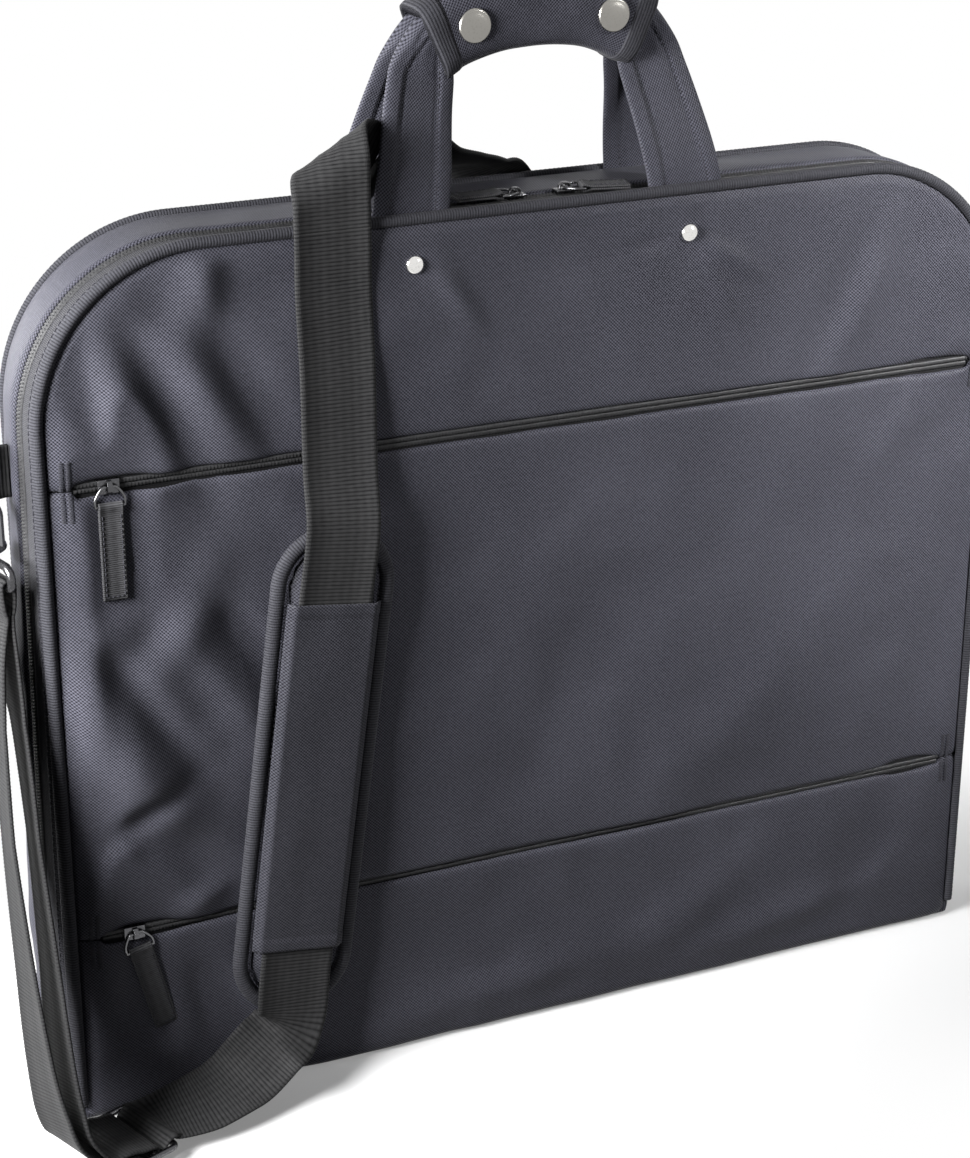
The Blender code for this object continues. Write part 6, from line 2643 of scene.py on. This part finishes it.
# Inside
@dataclass
class Inside:
    """Linings, pocket bags, the garment band, the hanger loop and the back's stiffener."""

    lining_y: float = 0.0232
    lining: float = 0.0006
    band_y: float = 0.0215
    band_low: float = 0.19
    band_width: float = 0.03
    loop_length: float = 0.045

    def lining_sheet(self, name: str, side: float) -> Piece:
        """A lining with soft waves, reaching the side walls.

        Args:
            name: The piece's name.
            side: -1 for the front, 1 for the rear.

        Returns:
            The new piece.
        """
        share = 1 - (self.lining_y / FORM.half_depth) ** 2

        def place(u: float, v: float) -> Vector:
            """A point of the lining."""
            x = FORM.half_width * (2 * u - 1)
            low = FORM.seam + 0.0002
            z = low + (FORM.roof(x, 0.0004) - low) * v
            swell = FORM.swell_low + (FORM.swell_high - FORM.swell_low) * min(z / 0.385, 1.0)
            wave = 0.0004 * ripple(x * 20, 3.0 * side, z * 14)
            return Vector((x * (1 + share * swell / FORM.half_width), side * (self.lining_y + wave), z))

        return facing(name, 90, 70, place, -side, self.lining)

    def pocket_bag(self, name: str, low: float, high: float) -> Piece:
        """A pocket's inner sheet behind the front.

        Args:
            name: The piece's name.
            low: Its lower edge.
            high: Its upper edge.

        Returns:
            The new piece.
        """

        def place(u: float, v: float) -> Vector:
            """A point of the sheet."""
            wave = 0.0003 * ripple(u * 9, v * 6, 4.4)
            return Vector((0.2665 * (2 * u - 1), -0.0283 + wave, low + (high - low) * v))

        return sheet(name, 60, 30, place, (0.533, high - low), 0.0004)

    def build(self) -> None:
        """Make the inner pieces and dress them."""
        keep(self.lining_sheet("lining_front", -1.0), SATIN, FRONT, "front_lining")
        keep(self.lining_sheet("lining_rear", 1.0), SATIN, REAR, "rear_lining")
        keep(self.pocket_bag("pocket_upper", 0.123, 0.3635), SATIN, FRONT, "upper_pocket_bag")
        keep(self.pocket_bag("pocket_lower", 0.0115, 0.1165), SATIN, FRONT, "lower_pocket_bag")
        middle = self.band_low + self.band_width / 2
        reach = 0.2737
        depths = [self.band_y + 0.0004 * sin(i * 0.9) for i in range(41)]
        span = [(Vector((reach * (i / 20 - 1), y, middle)), UP) for i, y in enumerate(depths)]
        band = web("garment_strap", Line(span), self.band_width, 0.0013, 0.002)
        keep(band, WEBBING, REAR, "garment_band")
        fold = hairpin(0.0039, 0.0013, self.loop_length)
        place = Vector((0, 0.0136, FORM.top + 0.0004 - self.loop_length))
        line = Line([(place + Vector((x, 0, -z)), BACK) for x, z in fold])
        keep(web("hanger_tape", line, 0.016, 0.0013, 0.002), WEBBING, REAR, "hanger_loop")
        board = bpy.data.objects["back_board"]
        board.data.materials.clear()
        board.data.materials.append(BOARD.make())


# Studio
@dataclass
class Studio:
    """Pale floor, soft lights and the camera."""

    eye: tuple = (-0.5496, -1.1679, 0.7833)
    forward: tuple = (0.3795, 0.8445, -0.3778)
    focal: float = 2560.0
    picture: tuple = (970, 1158)
    sensor: float = 36.0
    sky: float = 0.07
    floor_glow: float = 0.22

    def camera(self) -> None:
        """Put the camera at the photograph's viewing angle."""
        forward = Vector(self.forward).normalized()
        across = forward.cross(UP).normalized()
        data = bpy.data.cameras.new("camera")
        data.sensor_width = self.sensor
        data.lens = self.focal * self.sensor / max(self.picture)
        camera = placed("camera", data)
        camera.matrix_world = columns_matrix(Vector(self.eye), across, across.cross(forward), -forward)
        bpy.context.scene.camera = camera

    def lamp(
        self, name: str, place: tuple, aim: tuple, size: float, power: float, beam: float = 180.0
    ) -> None:
        """One soft square lamp, with its beam in degrees.

        Args:
            name: Its name.
            place: Where it hangs.
            aim: Where it points.
            size: Its side.
            power: Watts.
            beam: Width of its beam.
        """
        data = bpy.data.lights.new(name, "AREA")
        data.size = size
        data.energy = power
        data.spread = radians(beam)
        lamp = placed(name, data)
        lamp.location = place
        lamp.rotation_euler = (Vector(aim) - Vector(place)).to_track_quat("-Z", "Y").to_euler()

    def seen(self, graph: Graph) -> Wire:
        """1 for rays that show the background: from the camera, mirrors and glass.

        Args:
            graph: The graph to add to.

        Returns:
            The value.
        """
        sight = graph.node("ShaderNodeLightPath").socket.node.outputs
        parts = [Wire(graph, sight[key]) for key in ("Is Camera Ray", "Is Glossy Ray", "Is Transmission Ray")]
        return (parts[0] + parts[1] + parts[2]).within(0.0, 1.0)

    def floor(self) -> None:
        """A pale floor that looks white where nothing shades it."""
        bpy.ops.object.select_all(action="DESELECT")
        bpy.ops.mesh.primitive_plane_add(size=12.0, location=(0, 0, 0))
        floor = bpy.context.active_object
        floor.name = "floor"
        graph = Graph(bpy.data.materials.new("studio_floor"))
        away = graph.coordinates(Coordinates.SPACE)
        for step, amount in (("ABSOLUTE", (0, 0, 0)), ("SUBTRACT", (0.29, 0.07, 0)), ("MAXIMUM", (0, 0, 0))):
            away = graph.node("ShaderNodeVectorMath", {"operation": step}, {0: away, 1: amount})
        far = graph.node("ShaderNodeVectorMath", {"operation": "LENGTH"}, {0: away}, 1).within(0.02, 0.16)
        tone = graph.blend(self.seen(graph), (0.14, 0.14, 0.14), (0.62, 0.62, 0.62))
        matt = graph.node("ShaderNodeBsdfDiffuse", {}, {"Color": tone})
        glow = graph.node("ShaderNodeEmission", {}, {"Strength": self.seen(graph) * self.floor_glow})
        near = graph.node("ShaderNodeAddShader", {}, {0: matt, 1: glow})
        white = graph.node("ShaderNodeEmission", {}, {"Strength": self.seen(graph)})
        graph.close(graph.node("ShaderNodeMixShader", {}, {0: far, 1: near, 2: white}))
        floor.data.materials.append(graph.owner)

    def world(self) -> None:
        """An even sky: white to the eye, softer as a light."""
        world = bpy.data.worlds.new("studio_sky")
        bpy.context.scene.world = world
        graph = Graph(world)
        strength = self.seen(graph) * (1.0 - self.sky) + self.sky
        sky = graph.node("ShaderNodeBackground", {}, {"Color": (1.0, 1.0, 1.0, 1.0), "Strength": strength})
        graph.close(sky, "ShaderNodeOutputWorld")

    def build(self) -> None:
        """Set up the whole studio."""
        bpy.context.scene.view_settings.view_transform = "Standard"
        self.camera()
        self.floor()
        self.world()
        self.lamp("key_lamp", (-0.88, -0.25, 0.62), (-0.1, 0.0, 0.28), 0.4, 32.0)
        self.lamp("top_lamp", (0.2, 0.6, 2.2), (0.0, 0.0, 0.2), 1.0, 1.4)
        self.lamp("fill_lamp", (1.1, -1.0, 1.1), (0.38, 0.0, 0.43), 0.3, 2.5, 27.0)
        self.lamp("back_lamp", (-1.2, 1.8, 0.55), (0.0, 0.0, 0.22), 0.9, 30.0)


def main() -> None:
    """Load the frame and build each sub-assembly."""
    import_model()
    Studio().build()
    ShoulderStrap().build()
    BroadFaces().build()
    Edges().build()
    Zips().build()
    Handles().build()
    Hardware().build()
    ShoulderPad().build()
    Inside().build()
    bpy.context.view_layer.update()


if __name__ == "__main__":
    logging.basicConfig(level=logging.INFO, format="%(message)s")
    main()
